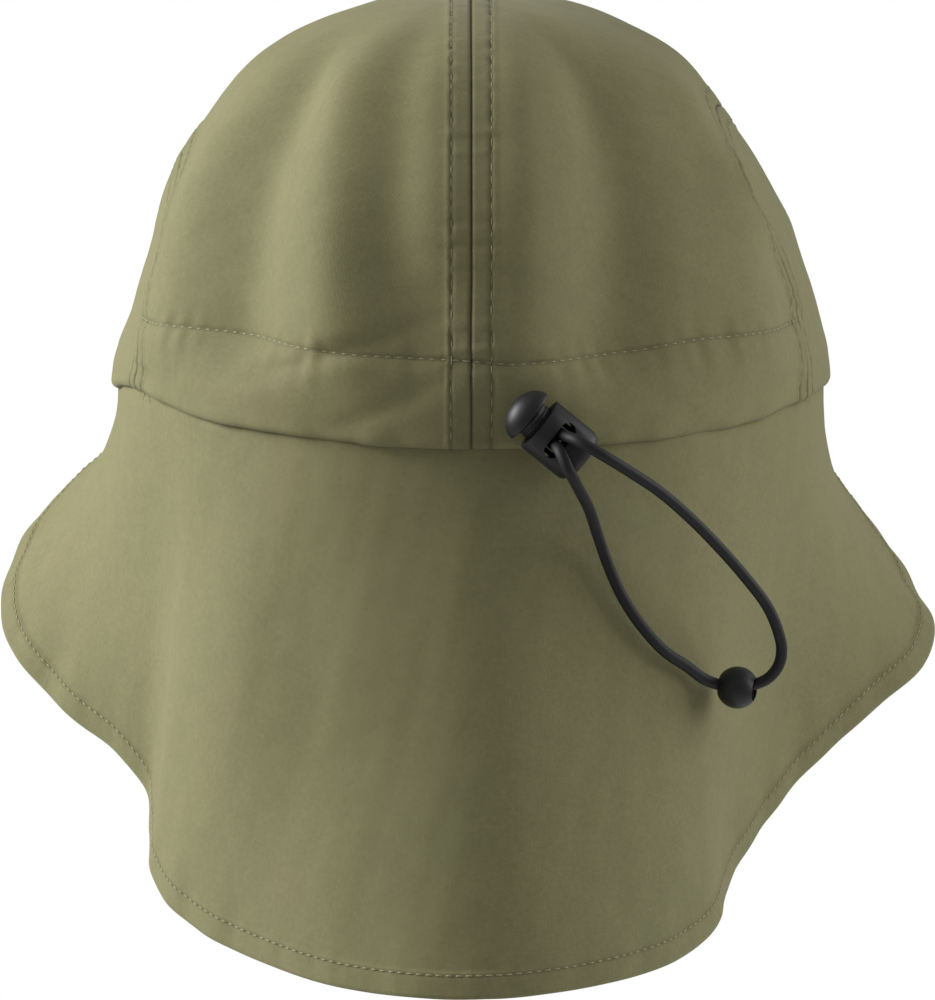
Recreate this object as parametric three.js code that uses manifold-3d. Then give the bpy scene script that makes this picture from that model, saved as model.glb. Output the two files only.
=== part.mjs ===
// A legionnaire cap: a soft crown of five panels, a peak in front, a flared flap over the neck,
// and a round elastic behind that is drawn through a sprung cord lock and ends in a bead.
// Millimetres, +Z up. The origin is the middle of the head opening, in the plane of the crown's rim.
// The peak points along -Y, the flap hangs over the neck at +Y, and the wearer's left is +X.
// A turn is counted in degrees about +Z from centre back, positive towards the wearer's left.
import * as THREE from 'three';
import { mergeVertices } from 'three/addons/utils/BufferGeometryUtils.js';
import Module from 'manifold-3d';

// Driving dimensions
const crownWidth = 171.4;
const crownLength = 208;
const crownHeight = 95;
const crownWall = 1.2;
const dentDepth = 4;
const sewnGap = 0.3;
const frontSeamBase = 52;
const frontSeamTop = 26;
const casingHeight = 20;
const casingWall = 1;
const casingEndTurn = 60;
const flapDrop = 114;
const flapFlare = 47;
const flapWall = 1.2;
const flapTuck = 1.2;
const flapEndTurn = 125;
const peakLength = 68;
const peakWall = 3;
const peakPitch = 13;
const peakSideDrop = 26;
const peakHalfTurn = 51;
const cordDiameter = 2.6;
const strandPitch = 2.9;
const lockWidth = 12.8;
const lockDepth = 10.8;
const lockLength = 13;
const lockRimToSlot = 5.3;
const lockBore = 8.6;
const lockSlotLength = 9.1;
const lockFloor = 2.2;
const buttonHeight = 4.8;
const buttonTravel = 2.2;
const buttonStemClearance = 0.3;
const buttonBarUnderCord = 1.3;
const slotClearance = 0.45;
const beadDiameter = 9.5;
const beadLength = 8;
const beadBore = 4.7;

// The eyelet in the right back panel: its turn, and its height above the rim
const eyeletTurn = -12.33;
const eyeletHeight = 3.7;
const eyeletClearance = 0.4;

// The drawcord is laid out round its eyelet, and follows it when the crown's size changes: the
// eyelet's place on the layout, the middle of the lock's back, and the way the lock points and faces
const layoutEyelet = new THREE.Vector3(-18.3, 101.61, 3.7);
const lockBack = new THREE.Vector3(-18.35, 103.25, 2.74);
const lockAxis = new THREE.Vector3(-0.768, -0.05, -0.638).normalize();
const lockFacing = new THREE.Vector3(-0.121, 0.99, 0.068);
const beadCentre = new THREE.Vector3(-59.8, 94.4, -55.2);
const beadAxis = new THREE.Vector3(-1, 0.02, -0.02).normalize();

// The elastic's route, chosen by hand: out of the casing, through the lock, down the flap,
// through the bead and back up to the lock
const cordRoute = [
  [-17.3, 98.9, 3.1],
  [-17.4, 101.2, 2.7],
  [-17.5, 103.6, 2.0],
  [-18.1, 108.8, 2.0],
  [-18.7, 113.6, 2.2],
  [-19.6, 117.4, 1.2],
  [-21.3, 118.9, -2.2],
  [-23.6, 116.0, -6.9],
  [-26.0, 110.4, -12.2],
  [-28.1, 106.8, -18.8],
  [-30.4, 105.8, -25.5],
  [-33.6, 105.6, -32.7],
  [-37.6, 104.8, -39.0],
  [-42.8, 102.6, -45.2],
  [-48.4, 98.8, -49.7],
  [-52.2, 96.2, -52.9],
  [-55.8, 94.6, -54.5],
  [-59.8, 94.3, -54.8],
  [-63.5, 94.5, -54.5],
  [-66.8, 94.9, -52.9],
  [-69.0, 95.3, -49.9],
  [-69.6, 96.0, -46.2],
  [-68.6, 97.5, -41.6],
  [-66.2, 99.2, -36.0],
  [-61.0, 102.0, -28.8],
  [-55.2, 105.2, -21.8],
  [-48.4, 109.2, -14.4],
  [-41.6, 113.2, -8.0],
  [-34.9, 117.0, -3.0],
  [-28.6, 119.4, 1.2],
  [-23.4, 118.2, 4.0],
  [-20.6, 113.8, 4.6],
  [-19.9, 108.4, 4.2],
  [-19.3, 103.4, 4.1],
  [-19.2, 101.2, 4.8],
  [-19.1, 98.9, 5.3],
];

// Crown sections from the rim to the top, as shares of the crown's height, half width and half length
const crownSections = [
  { up: 0.0, across: 1.0, back: 1.0, front: 1.0 },
  { up: 0.03, across: 1.0, back: 1.0, front: 1.0 },
  { up: 0.14, across: 0.985, back: 0.988, front: 0.995 },
  { up: 0.33, across: 0.925, back: 0.94, front: 0.965 },
  { up: 0.54, across: 0.838, back: 0.865, front: 0.88 },
  { up: 0.7, across: 0.725, back: 0.755, front: 0.75 },
  { up: 0.83, across: 0.61, back: 0.63, front: 0.6 },
  { up: 0.91, across: 0.48, back: 0.495, front: 0.45 },
  { up: 0.965, across: 0.33, back: 0.34, front: 0.3 },
  { up: 0.99, across: 0.185, back: 0.18, front: 0.165 },
  { up: 1.0, across: 0.0, back: 0.0, front: 0.0 },
];

// Soft folds of the back panels: turn and spread in degrees, low and high as shares of the height,
// lean in degrees from low to high, depth as a share of dentDepth, outwards where positive
const crownDents = [
  { turn: 12, spread: 6, low: 0.45, high: 0.92, lean: 6, depth: 0.45 },
  { turn: 20, spread: 6, low: 0.45, high: 0.9, lean: 7, depth: -0.55 },
  { turn: 10, spread: 7, low: 0.16, high: 0.4, lean: 0, depth: -0.4 },
  { turn: 30, spread: 8, low: 0.18, high: 0.92, lean: 12, depth: 0.7 },
  { turn: 44, spread: 8, low: 0.15, high: 0.8, lean: 10, depth: -0.6 },
  { turn: -10, spread: 7, low: 0.12, high: 0.95, lean: -6, depth: 0.45 },
  { turn: -25, spread: 8, low: 0.15, high: 0.92, lean: -12, depth: -0.9 },
  { turn: -50, spread: 9, low: 0.12, high: 0.75, lean: -4, depth: 0.45 },
  { turn: 90, spread: 20, low: 0.12, high: 0.45, lean: 0, depth: -0.42 },
];

// The flap's hem from the right temple round the back to the left temple: turn in degrees,
// reach as a share of flapFlare, drop as a share of flapDrop, bend of the flare down the flap
const flapSections = [
  { turn: -126, reach: 0.04, drop: 0.05, bend: 1.0 },
  { turn: -118, reach: 0.11, drop: 0.13, bend: 1.3 },
  { turn: -109, reach: 0.19, drop: 0.22, bend: 1.8 },
  { turn: -100, reach: 0.32, drop: 0.32, bend: 2.0 },
  { turn: -92, reach: 0.48, drop: 0.425, bend: 2.1 },
  { turn: -86, reach: 0.57, drop: 0.487, bend: 2.1 },
  { turn: -80, reach: 0.535, drop: 0.55, bend: 1.95 },
  { turn: -73, reach: 0.365, drop: 0.61, bend: 1.55 },
  { turn: -66, reach: 0.19, drop: 0.68, bend: 1.2 },
  { turn: -59, reach: 0.08, drop: 0.745, bend: 1.0 },
  { turn: -52, reach: 0.05, drop: 0.805, bend: 1.0 },
  { turn: -46, reach: 0.075, drop: 0.85, bend: 1.0 },
  { turn: -39, reach: 0.175, drop: 0.9, bend: 1.1 },
  { turn: -31, reach: 0.415, drop: 0.948, bend: 1.15 },
  { turn: -23, reach: 0.63, drop: 0.977, bend: 1.15 },
  { turn: -12, reach: 0.86, drop: 0.993, bend: 1.15 },
  { turn: 0, reach: 1.0, drop: 1.0, bend: 1.15 },
  { turn: 12, reach: 0.85, drop: 1.0, bend: 1.15 },
  { turn: 22, reach: 0.66, drop: 0.985, bend: 1.15 },
  { turn: 32, reach: 0.52, drop: 0.96, bend: 1.15 },
  { turn: 41, reach: 0.41, drop: 0.92, bend: 1.15 },
  { turn: 47, reach: 0.31, drop: 0.88, bend: 1.1 },
  { turn: 52, reach: 0.17, drop: 0.83, bend: 1.05 },
  { turn: 57, reach: 0.11, drop: 0.76, bend: 1.0 },
  { turn: 63, reach: 0.165, drop: 0.695, bend: 1.05 },
  { turn: 70, reach: 0.295, drop: 0.645, bend: 1.25 },
  { turn: 77, reach: 0.44, drop: 0.585, bend: 1.5 },
  { turn: 84, reach: 0.58, drop: 0.51, bend: 1.6 },
  { turn: 91, reach: 0.61, drop: 0.43, bend: 1.6 },
  { turn: 99, reach: 0.52, drop: 0.32, bend: 1.6 },
  { turn: 108, reach: 0.31, drop: 0.215, bend: 1.45 },
  { turn: 117, reach: 0.13, drop: 0.12, bend: 1.2 },
  { turn: 126, reach: 0.04, drop: 0.05, bend: 1.0 },
];

// Each side panel's seam, from the rim behind the ear, over the panel's round top, and down past
// the front seam: turn in degrees towards that side, up as a share of the crown's height
const sideSeams = {
  left: [
    { turn: 65.5, up: -0.1 },
    { turn: 65, up: 0.02 },
    { turn: 64.5, up: 0.12 },
    { turn: 65, up: 0.2 },
    { turn: 67, up: 0.28 },
    { turn: 67.5, up: 0.35 },
    { turn: 68, up: 0.42 },
    { turn: 71, up: 0.5 },
    { turn: 77, up: 0.57 },
    { turn: 87, up: 0.615 },
    { turn: 100, up: 0.62 },
    { turn: 114, up: 0.57 },
    { turn: 127, up: 0.42 },
    { turn: 134, up: 0.2 },
    { turn: 136, up: -0.1 },
  ],
  right: [
    { turn: 64.5, up: -0.1 },
    { turn: 64.5, up: 0.03 },
    { turn: 65.5, up: 0.12 },
    { turn: 66, up: 0.2 },
    { turn: 67.5, up: 0.28 },
    { turn: 67, up: 0.35 },
    { turn: 64, up: 0.42 },
    { turn: 60, up: 0.49 },
    { turn: 57, up: 0.555 },
    { turn: 58, up: 0.605 },
    { turn: 62.5, up: 0.655 },
    { turn: 71, up: 0.7 },
    { turn: 84, up: 0.72 },
    { turn: 100, up: 0.695 },
    { turn: 116, up: 0.61 },
    { turn: 128, up: 0.42 },
    { turn: 134, up: 0.2 },
    { turn: 136, up: -0.1 },
  ],
};

// The casing strip inside the back panels: up as a share of casingHeight, inset as a share of the
// room that the elastic takes between the crown and the strip
const casingSections = [
  { up: 0.0, inset: 0.5 },
  { up: 0.16, inset: 1.0 },
  { up: 0.42, inset: 1.0 },
  { up: 0.72, inset: 0.35 },
  { up: 0.9, inset: 0.0 },
  { up: 1.05, inset: 0.0 },
];

// Width of a facet round the crown, in degrees
const facetTurn = 6;

// Heights of the facets' edges, as shares of the crown's height
const facetHeights = [0, 0.03, 0.09, 0.155, 0.225, 0.33, 0.43, 0.53, 0.62, 0.71, 0.79, 0.87, 0.93, 0.975, 1];

const wasm = await Module();
wasm.setup();

const halfWidth = crownWidth / 2;
const halfLength = crownLength / 2;
const radians = THREE.MathUtils.degToRad;

const cloth = { color: 0x7b7858, roughness: 0.85, metalness: 0 };
const blackPlastic = { color: 0x1e1e20, roughness: 0.4, metalness: 0 };
const blackElastic = { color: 0x161617, roughness: 0.75, metalness: 0 };

// Value of one column of a table, on a smooth curve through the rows that are before and after
function smoothColumn(rows, key, column, at) {
  const last = rows.length - 1;
  const clamped = Math.min(Math.max(at, rows[0][key]), rows[last][key]);
  let i = 0;
  while (i < last - 1 && clamped > rows[i + 1][key]) i += 1;
  const slope = (a, b) => (rows[b][column] - rows[a][column]) / (rows[b][key] - rows[a][key]);
  const tangent = (j) => {
    if (j === 0) return slope(0, 1);
    if (j === last) return slope(last - 1, last);
    return (slope(j - 1, j) + slope(j, j + 1)) / 2;
  };
  const span = rows[i + 1][key] - rows[i][key];
  const w = (clamped - rows[i][key]) / span;
  const startWeight = 2 * w ** 3 - 3 * w ** 2 + 1;
  const startSlope = (w ** 3 - 2 * w ** 2 + w) * span;
  const endSlope = (w ** 3 - w ** 2) * span;
  return startWeight * rows[i][column] + (1 - startWeight) * rows[i + 1][column]
    + startSlope * tangent(i) + endSlope * tangent(i + 1);
}

// Catmull-Rom curve through the crown's sections; rise goes from 0 at the rim to 1 at the top
const profileCurve = (column) => new THREE.SplineCurve(
  crownSections.map((row) => new THREE.Vector2(row[column], row.up)),
);
const profiles = {
  across: profileCurve('across'),
  back: profileCurve('back'),
  front: profileCurve('front'),
};

function smoothStep(x) {
  const w = THREE.MathUtils.clamp(x, 0, 1);
  return w * w * (3 - 2 * w);
}

// Outward direction of the head oval at a turn
function ovalNormal(turn) {
  const a = radians(turn);
  return new THREE.Vector3(Math.sin(a) / halfWidth, Math.cos(a) / halfLength, 0).normalize();
}

function dentAt(turn, up) {
  const fade = 0.18;
  let sum = 0;
  for (const dent of crownDents) {
    const middle = dent.turn + dent.lean * ((up - (dent.low + dent.high) / 2) / (dent.high - dent.low));
    const across = Math.exp(-(((turn - middle) / dent.spread) ** 2));
    const window = smoothStep((up - dent.low) / fade + 0.5) * smoothStep((dent.high - up) / fade + 0.5);
    sum += dent.depth * dentDepth * across * window;
  }
  return sum;
}

// Point of the crown's outer face at a turn and a rise
function crownOuter(turn, rise) {
  const a = radians(turn);
  const side = profiles.across.getPoint(rise);
  const along = (Math.cos(a) >= 0 ? profiles.back : profiles.front).getPoint(rise);
  const point = new THREE.Vector3(
    halfWidth * side.x * Math.sin(a),
    halfLength * along.x * Math.cos(a),
    crownHeight * side.y,
  );
  const flatTop = 0.4;
  const fade = Math.min(side.x / flatTop, 1);
  const signedTurn = turn > 180 ? turn - 360 : turn;
  return point.addScaledVector(ovalNormal(turn), dentAt(signedTurn, side.y) * fade);
}

// The rise at which the crown has a given share of its height
function riseAtHeight(up) {
  if (up >= 1) return 1;
  let low = 0;
  let high = 1;
  for (let i = 0; i < 30; i += 1) {
    const middle = (low + high) / 2;
    if (profiles.across.getPoint(middle).y < up) low = middle;
    else high = middle;
  }
  return low;
}

const eyelet = crownOuter(eyeletTurn, riseAtHeight(eyeletHeight / crownHeight));

// Crown face set in by a distance along its own normal
function crownInset(turn, rise, inset) {
  const step = 0.004;
  const low = Math.max(rise - step, 0);
  const high = Math.min(rise + step, 1 - step);
  const upward = crownOuter(turn, high).sub(crownOuter(turn, low));
  const around = crownOuter(turn + 0.5, Math.min(rise, 1 - step))
    .sub(crownOuter(turn - 0.5, Math.min(rise, 1 - step)));
  const normal = upward.cross(around).normalize();
  if (rise >= 1 - step) normal.set(0, 0, 1);
  if (rise <= 0) normal.setZ(0).normalize();
  return crownOuter(turn, rise).addScaledVector(normal, -inset);
}

// Point of the flap's outer face; down goes from 0 at the crown's rim to 1 at the hem
function flapOuter(turn, down, outwards) {
  const reach = smoothColumn(flapSections, 'turn', 'reach', turn) * flapFlare;
  const drop = smoothColumn(flapSections, 'turn', 'drop', turn) * flapDrop;
  const bend = smoothColumn(flapSections, 'turn', 'bend', turn);
  const a = radians(turn);
  const seat = crownWall + sewnGap;
  return new THREE.Vector3((halfWidth - seat) * Math.sin(a), (halfLength - seat) * Math.cos(a), -drop * down)
    .addScaledVector(ovalNormal(turn), reach * down ** bend + outwards);
}

function cleaned(geometry) {
  geometry.deleteAttribute('normal');
  geometry.deleteAttribute('uv');
  return mergeVertices(geometry, 1e-4);
}

function toSolid(geometry) {
  const merged = cleaned(geometry);
  return new wasm.Manifold(new wasm.Mesh({
    numProp: 3,
    vertProperties: new Float32Array(merged.attributes.position.array),
    triVerts: new Uint32Array(merged.index.array),
  }));
}

function toGeometry(solid) {
  const mesh = solid.getMesh();
  const geometry = new THREE.BufferGeometry();
  geometry.setAttribute('position', new THREE.BufferAttribute(new Float32Array(mesh.vertProperties), 3));
  geometry.setIndex(new THREE.BufferAttribute(new Uint32Array(mesh.triVerts), 1));
  geometry.computeVertexNormals();
  return geometry;
}

// A closed wall between an outer and an inner grid of points; the columns may close in a ring,
// and a row whose points all meet in one is a pole
function wallGeometry(outer, inner, closesInRing) {
  const rows = outer.length;
  const columns = outer[0].length;
  const points = [...outer.flat(), ...inner.flat()];
  const outside = (r, c) => r * columns + (c % columns);
  const inside = (r, c) => rows * columns + outside(r, c);
  const faces = [];
  const quad = (a, b, c, d) => faces.push([a, b, c], [a, c, d]);
  const spans = closesInRing ? columns : columns - 1;
  for (let r = 0; r < rows - 1; r += 1) {
    for (let c = 0; c < spans; c += 1) {
      quad(outside(r, c), outside(r + 1, c), outside(r + 1, c + 1), outside(r, c + 1));
      quad(inside(r, c), inside(r, c + 1), inside(r + 1, c + 1), inside(r + 1, c));
    }
  }
  for (let c = 0; c < spans; c += 1) {
    quad(outside(0, c), outside(0, c + 1), inside(0, c + 1), inside(0, c));
    quad(outside(rows - 1, c + 1), outside(rows - 1, c), inside(rows - 1, c), inside(rows - 1, c + 1));
  }
  if (!closesInRing) {
    const end = columns - 1;
    for (let r = 0; r < rows - 1; r += 1) {
      quad(outside(r + 1, 0), outside(r, 0), inside(r, 0), inside(r + 1, 0));
      quad(outside(r, end), outside(r + 1, end), inside(r + 1, end), inside(r, end));
    }
  }
  return facesToGeometry(points, faces);
}

// Geometry of a closed set of faces, without the ones that have no area, and facing outwards
function facesToGeometry(points, faces) {
  const raw = new THREE.BufferGeometry().setFromPoints(points);
  raw.setIndex(faces.flat());
  const merged = mergeVertices(raw, 1e-4);
  const position = merged.attributes.position;
  const corner = (i) => new THREE.Vector3().fromBufferAttribute(position, i);
  const kept = [];
  let volume = 0;
  for (let i = 0; i < merged.index.count; i += 3) {
    const [a, b, c] = [0, 1, 2].map((k) => merged.index.getX(i + k));
    if (a !== b && b !== c && c !== a) {
      kept.push([a, b, c]);
      volume += corner(a).dot(corner(b).cross(corner(c)));
    }
  }
  const facing = volume < 0 ? kept.map(([a, b, c]) => [a, c, b]) : kept;
  merged.setIndex(facing.flat());
  merged.computeVertexNormals();
  return merged;
}

function spaced(from, to, count) {
  return Array.from({ length: count + 1 }, (_, i) => from + ((to - from) * i) / count);
}

// The whole crown as one wall, before it is cut into panels
function crownShell() {
  const turns = spaced(-180, 180, 360 / facetTurn).slice(0, -1);
  const rises = facetHeights.map(riseAtHeight);
  const outer = rises.map((rise) => turns.map((turn) => crownOuter(turn, rise)));
  const inner = rises.map((rise) => turns.map((turn) => crownInset(turn, rise, crownWall)));
  return toSolid(wallGeometry(outer, inner, true));
}

// A block that holds the side panel and cuts it out along its seam, grown by an edge distance
function sidePanelCutter(name, side, grow) {
  const reachIn = -9;
  const reachOut = 11;
  const rows = sideSeams[name];
  const seam = new THREE.SplineCurve(rows.map((row) => new THREE.Vector2(row.turn, row.up)));
  const onCrown = (turn, up) => crownOuter(side * turn, riseAtHeight(Math.max(up, 0))).setZ(crownHeight * up);
  const onSeam = (share) => {
    const at = seam.getPoint(THREE.MathUtils.clamp(share, 0, 1));
    return onCrown(at.x, at.y);
  };
  const outAt = (point) => new THREE.Vector3(point.x / halfWidth ** 2, point.y / halfLength ** 2,
    point.z / (2 * crownHeight ** 2)).normalize();
  const ring = spaced(0, 1, 40).map((share) => {
    const point = onSeam(share);
    const out = outAt(point);
    const along = onSeam(share + 0.01).sub(onSeam(share - 0.01));
    const away = along.cross(out).normalize().multiplyScalar(side);
    return { point: point.addScaledVector(away, grow), out };
  });
  const first = rows[0];
  const last = rows[rows.length - 1];
  for (const turn of spaced(last.turn, first.turn, 10).slice(1, -1)) {
    const point = onCrown(turn, first.up);
    ring.push({ point, out: outAt(point) });
  }
  const inner = ring.map(({ point, out }) => point.clone().addScaledVector(out, reachIn));
  const outer = ring.map(({ point, out }) => point.clone().addScaledVector(out, reachOut));
  const middle = (points) => points.reduce((sum, p) => sum.add(p), new THREE.Vector3())
    .divideScalar(points.length);
  const bulge = new THREE.Vector3(side * crownHeight * 0.16, 0, 0);
  const points = [...outer, ...inner, middle(outer).add(bulge), middle(inner).add(bulge)];
  const count = ring.length;
  const faces = [];
  for (let i = 0; i < count; i += 1) {
    const next = (i + 1) % count;
    faces.push([i, next, count + next], [i, count + next, count + i]);
    faces.push([i, 2 * count, next], [count + i, count + next, 2 * count + 1]);
  }
  return toSolid(facesToGeometry(points, faces));
}

// A big block in front of the tilted front seam, or behind it, kept clear of the seam by half a gap
function frontSeamBlock(behind) {
  const size = crownLength * 2;
  const box = new THREE.BoxGeometry(size, size, size);
  const lean = Math.atan2(frontSeamBase - frontSeamTop, crownHeight);
  const away = behind ? 1 : -1;
  box.translate(0, away * (size / 2 + sewnGap / 2), 0);
  box.rotateX(-lean);
  box.translate(0, -frontSeamBase, 0);
  return toSolid(box);
}

function sideBlock(side) {
  const size = crownLength * 2;
  const box = new THREE.BoxGeometry(size, size, size);
  box.translate(side * (size / 2 + sewnGap / 2), 0, 0);
  return toSolid(box);
}

// Axes that stand in the lock: x beside the strands, y towards the button, z out of its face
function lockFrame() {
  const up = lockAxis.clone().negate();
  const face = lockFacing.clone().addScaledVector(up, -lockFacing.dot(up)).normalize();
  const across = up.clone().cross(face);
  const centre = lockBack.clone().addScaledVector(face, lockDepth / 2);
  return new THREE.Matrix4().makeBasis(across, up, face).setPosition(centre);
}

// A stadium of a given length, width and depth, standing on the XY plane's both sides
function slotGeometry(length, width, depth) {
  const shape = new THREE.Shape();
  const half = (length - width) / 2;
  shape.absarc(half, 0, width / 2, -Math.PI / 2, Math.PI / 2, false);
  shape.absarc(-half, 0, width / 2, Math.PI / 2, (3 * Math.PI) / 2, false);
  const slot = new THREE.ExtrudeGeometry(shape, { depth, bevelEnabled: false, curveSegments: 5 });
  slot.translate(0, 0, -depth / 2);
  return slot;
}

// The buttonhole through which both strands leave the casing
function eyeletCutter() {
  const width = cordDiameter + 2 * eyeletClearance;
  const slot = slotGeometry(strandPitch + width, width, crownWall * 6);
  slot.applyMatrix4(lockFrame().setPosition(eyelet));
  return toSolid(slot);
}

function crownPanels() {
  const shell = crownShell();
  const behind = shell.intersect(frontSeamBlock(true));
  const panels = [['crown_front', shell.intersect(frontSeamBlock(false))]];
  for (const [name, side] of [['left', 1], ['right', -1]]) {
    const sidePanel = behind.intersect(sidePanelCutter(name, side, -sewnGap / 2));
    let backPanel = behind.subtract(sidePanelCutter(name, side, sewnGap / 2)).intersect(sideBlock(side));
    if (Math.sign(eyeletTurn) === side) backPanel = backPanel.subtract(eyeletCutter());
    panels.push([`crown_side_${name}`, sidePanel], [`crown_back_${name}`, backPanel]);
  }
  return panels.map(([name, solid]) => [name, toGeometry(solid)]);
}

// The strip is close under the crown along its sewn edge and bows in to leave room for the elastic
function casingFacing() {
  const room = flapWall + cordDiameter - crownWall + 3 * sewnGap;
  const turns = spaced(-casingEndTurn, casingEndTurn, (2 * casingEndTurn) / facetTurn);
  const strip = (extra) => casingSections.map((row) => turns.map((turn) => {
    const height = (row.up * casingHeight) / crownHeight;
    const edge = crownWall + sewnGap + row.inset * room;
    return crownInset(turn, riseAtHeight(height), edge + extra);
  }));
  return wallGeometry(strip(0), strip(casingWall), false);
}

// The flap's top edge is tucked up inside the crown's rim
function neckFlap() {
  const turns = spaced(-flapEndTurn, flapEndTurn, 44);
  const downs = spaced(0, 1, 8);
  const face = (outwards) => [
    turns.map((turn) => flapOuter(turn, 0, outwards).setZ(flapTuck)),
    ...downs.map((down) => turns.map((turn) => flapOuter(turn, down, outwards))),
  ];
  return wallGeometry(face(0), face(-flapWall), false);
}

// Under the crown's rim the peak keeps a sewn gap; outwards it dips, and more so at its sides
function peak() {
  const underRim = 3;
  const turns = spaced(180 - peakHalfTurn, 180 + peakHalfTurn, 24);
  const outs = spaced(0, 1, 6);
  const face = (below) => outs.map((out) => turns.map((turn) => {
    const aside = (turn - 180) / peakHalfTurn;
    const reach = -underRim + (peakLength * Math.sqrt(1 - aside ** 2 * 0.96) + underRim) * out;
    const past = Math.max(reach, 0) / peakLength;
    const dip = peakPitch * past + peakSideDrop * past * Math.abs(aside) ** 2;
    const a = radians(turn);
    return new THREE.Vector3(halfWidth * Math.sin(a), halfLength * Math.cos(a), -sewnGap - dip - below)
      .addScaledVector(ovalNormal(turn), reach);
  }));
  return wallGeometry(face(0), face(peakWall), false);
}

// Turned body with an oval section
function ovalLathe(profile, depthShare) {
  const lathe = new THREE.LatheGeometry(profile.map(([r, y]) => new THREE.Vector2(r, y)), 28);
  lathe.scale(1, 1, depthShare);
  return toSolid(lathe);
}

const slotWidth = cordDiameter + 2 * slotClearance;
const barrelEnd = lockRimToSlot - lockLength;
const boreFloor = barrelEnd + lockFloor;

function lockBarrel() {
  const r = lockWidth / 2;
  const corner = 2.4;
  const body = ovalLathe([
    [0, barrelEnd],
    [r * 0.45, barrelEnd + corner * 0.1],
    [r - corner * 0.5, barrelEnd + corner * 0.42],
    [r - corner * 0.14, barrelEnd + corner * 0.8],
    [r, barrelEnd + corner * 1.4],
    [r, lockRimToSlot - 0.4],
    [r - 0.3, lockRimToSlot],
    [0, lockRimToSlot],
  ], lockDepth / lockWidth);
  const boreLength = lockRimToSlot - boreFloor + 1;
  const bore = new THREE.CylinderGeometry(lockBore / 2, lockBore / 2, boreLength, 28);
  bore.translate(0, boreFloor + boreLength / 2, 0);
  const slot = slotGeometry(lockSlotLength, slotWidth, lockDepth * 2);
  const solid = body.subtract(toSolid(bore)).subtract(toSolid(slot));
  return toGeometry(solid).applyMatrix4(lockFrame());
}

function lockButton() {
  const r = lockWidth / 2 - 0.1;
  const underside = lockRimToSlot + buttonTravel + 0.5;
  const dome = ovalLathe([
    [0, underside],
    [r - 0.5, underside],
    [r, underside + 0.5],
    [r * 0.93, underside + buttonHeight * 0.4],
    [r * 0.72, underside + buttonHeight * 0.72],
    [r * 0.4, underside + buttonHeight * 0.93],
    [0, underside + buttonHeight],
  ], lockDepth / lockWidth);
  const stemRadius = lockBore / 2 - buttonStemClearance;
  const slotLow = -slotWidth / 2 + 0.1;
  const stemEnd = slotLow - buttonBarUnderCord;
  const stem = new THREE.CylinderGeometry(stemRadius, stemRadius, underside + 1 - stemEnd, 28);
  stem.translate(0, (underside + 1 + stemEnd) / 2, 0);
  const slotHigh = slotWidth / 2 + buttonTravel + 0.1;
  const windowLength = strandPitch + cordDiameter + 0.6;
  const window = new THREE.BoxGeometry(windowLength, slotHigh - slotLow, lockDepth * 2);
  window.translate(0, (slotHigh + slotLow) / 2, 0);
  const solid = dome.add(toSolid(stem)).subtract(toSolid(window));
  return toGeometry(solid).applyMatrix4(lockFrame());
}

function elasticCord() {
  const sides = 8;
  const section = new THREE.Shape(Array.from({ length: sides }, (_, i) => {
    const a = (2 * Math.PI * i) / sides;
    return new THREE.Vector2((Math.cos(a) * cordDiameter) / 2, (Math.sin(a) * cordDiameter) / 2);
  }));
  const path = new THREE.CatmullRomCurve3(cordRoute.map((p) => new THREE.Vector3(...p)), false, 'centripetal');
  const tube = new THREE.ExtrudeGeometry(section, { steps: 60, bevelEnabled: false, extrudePath: path });
  return toGeometry(toSolid(tube));
}

function endBead() {
  const r = beadDiameter / 2;
  const hole = beadBore / 2;
  const half = beadLength / 2;
  const profile = [
    [hole, -half * 0.9],
    [hole + 0.5, -half],
    [r * 0.8, -half * 0.8],
    [r * 0.97, -half * 0.36],
    [r, 0],
    [r * 0.97, half * 0.36],
    [r * 0.8, half * 0.8],
    [hole + 0.5, half],
    [hole, half * 0.9],
    [hole, -half * 0.9],
  ];
  const bead = cleaned(new THREE.LatheGeometry(profile.map(([x, y]) => new THREE.Vector2(x, y)), 16));
  bead.computeVertexNormals();
  return bead;
}

function addMesh(group, name, geometry, finish) {
  const mesh = new THREE.Mesh(geometry, new THREE.MeshStandardMaterial(finish));
  mesh.name = name;
  group.add(mesh);
  return mesh;
}

const cap = new THREE.Group();

const crown = new THREE.Group();
for (const [name, geometry] of crownPanels()) addMesh(crown, name, geometry, cloth);
addMesh(crown, 'casing_facing', casingFacing(), cloth);
cap.add(crown);

addMesh(cap, 'peak', peak(), cloth);
addMesh(cap, 'neck_flap', neckFlap(), cloth);

const drawcord = new THREE.Group();
drawcord.position.copy(eyelet).sub(layoutEyelet);
addMesh(drawcord, 'lock_barrel', lockBarrel(), blackPlastic);
addMesh(drawcord, 'lock_button', lockButton(), blackPlastic);
addMesh(drawcord, 'elastic_cord', elasticCord(), blackElastic);
const bead = addMesh(drawcord, 'end_bead', endBead(), blackPlastic);
bead.position.copy(beadCentre);
bead.quaternion.setFromUnitVectors(new THREE.Vector3(0, 1, 0), beadAxis);
cap.add(drawcord);

export default cap;
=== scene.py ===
import math

import bmesh
import bpy
import numpy as np
from mathutils import Matrix, Vector
from mathutils.geometry import delaunay_2d_cdt


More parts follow.
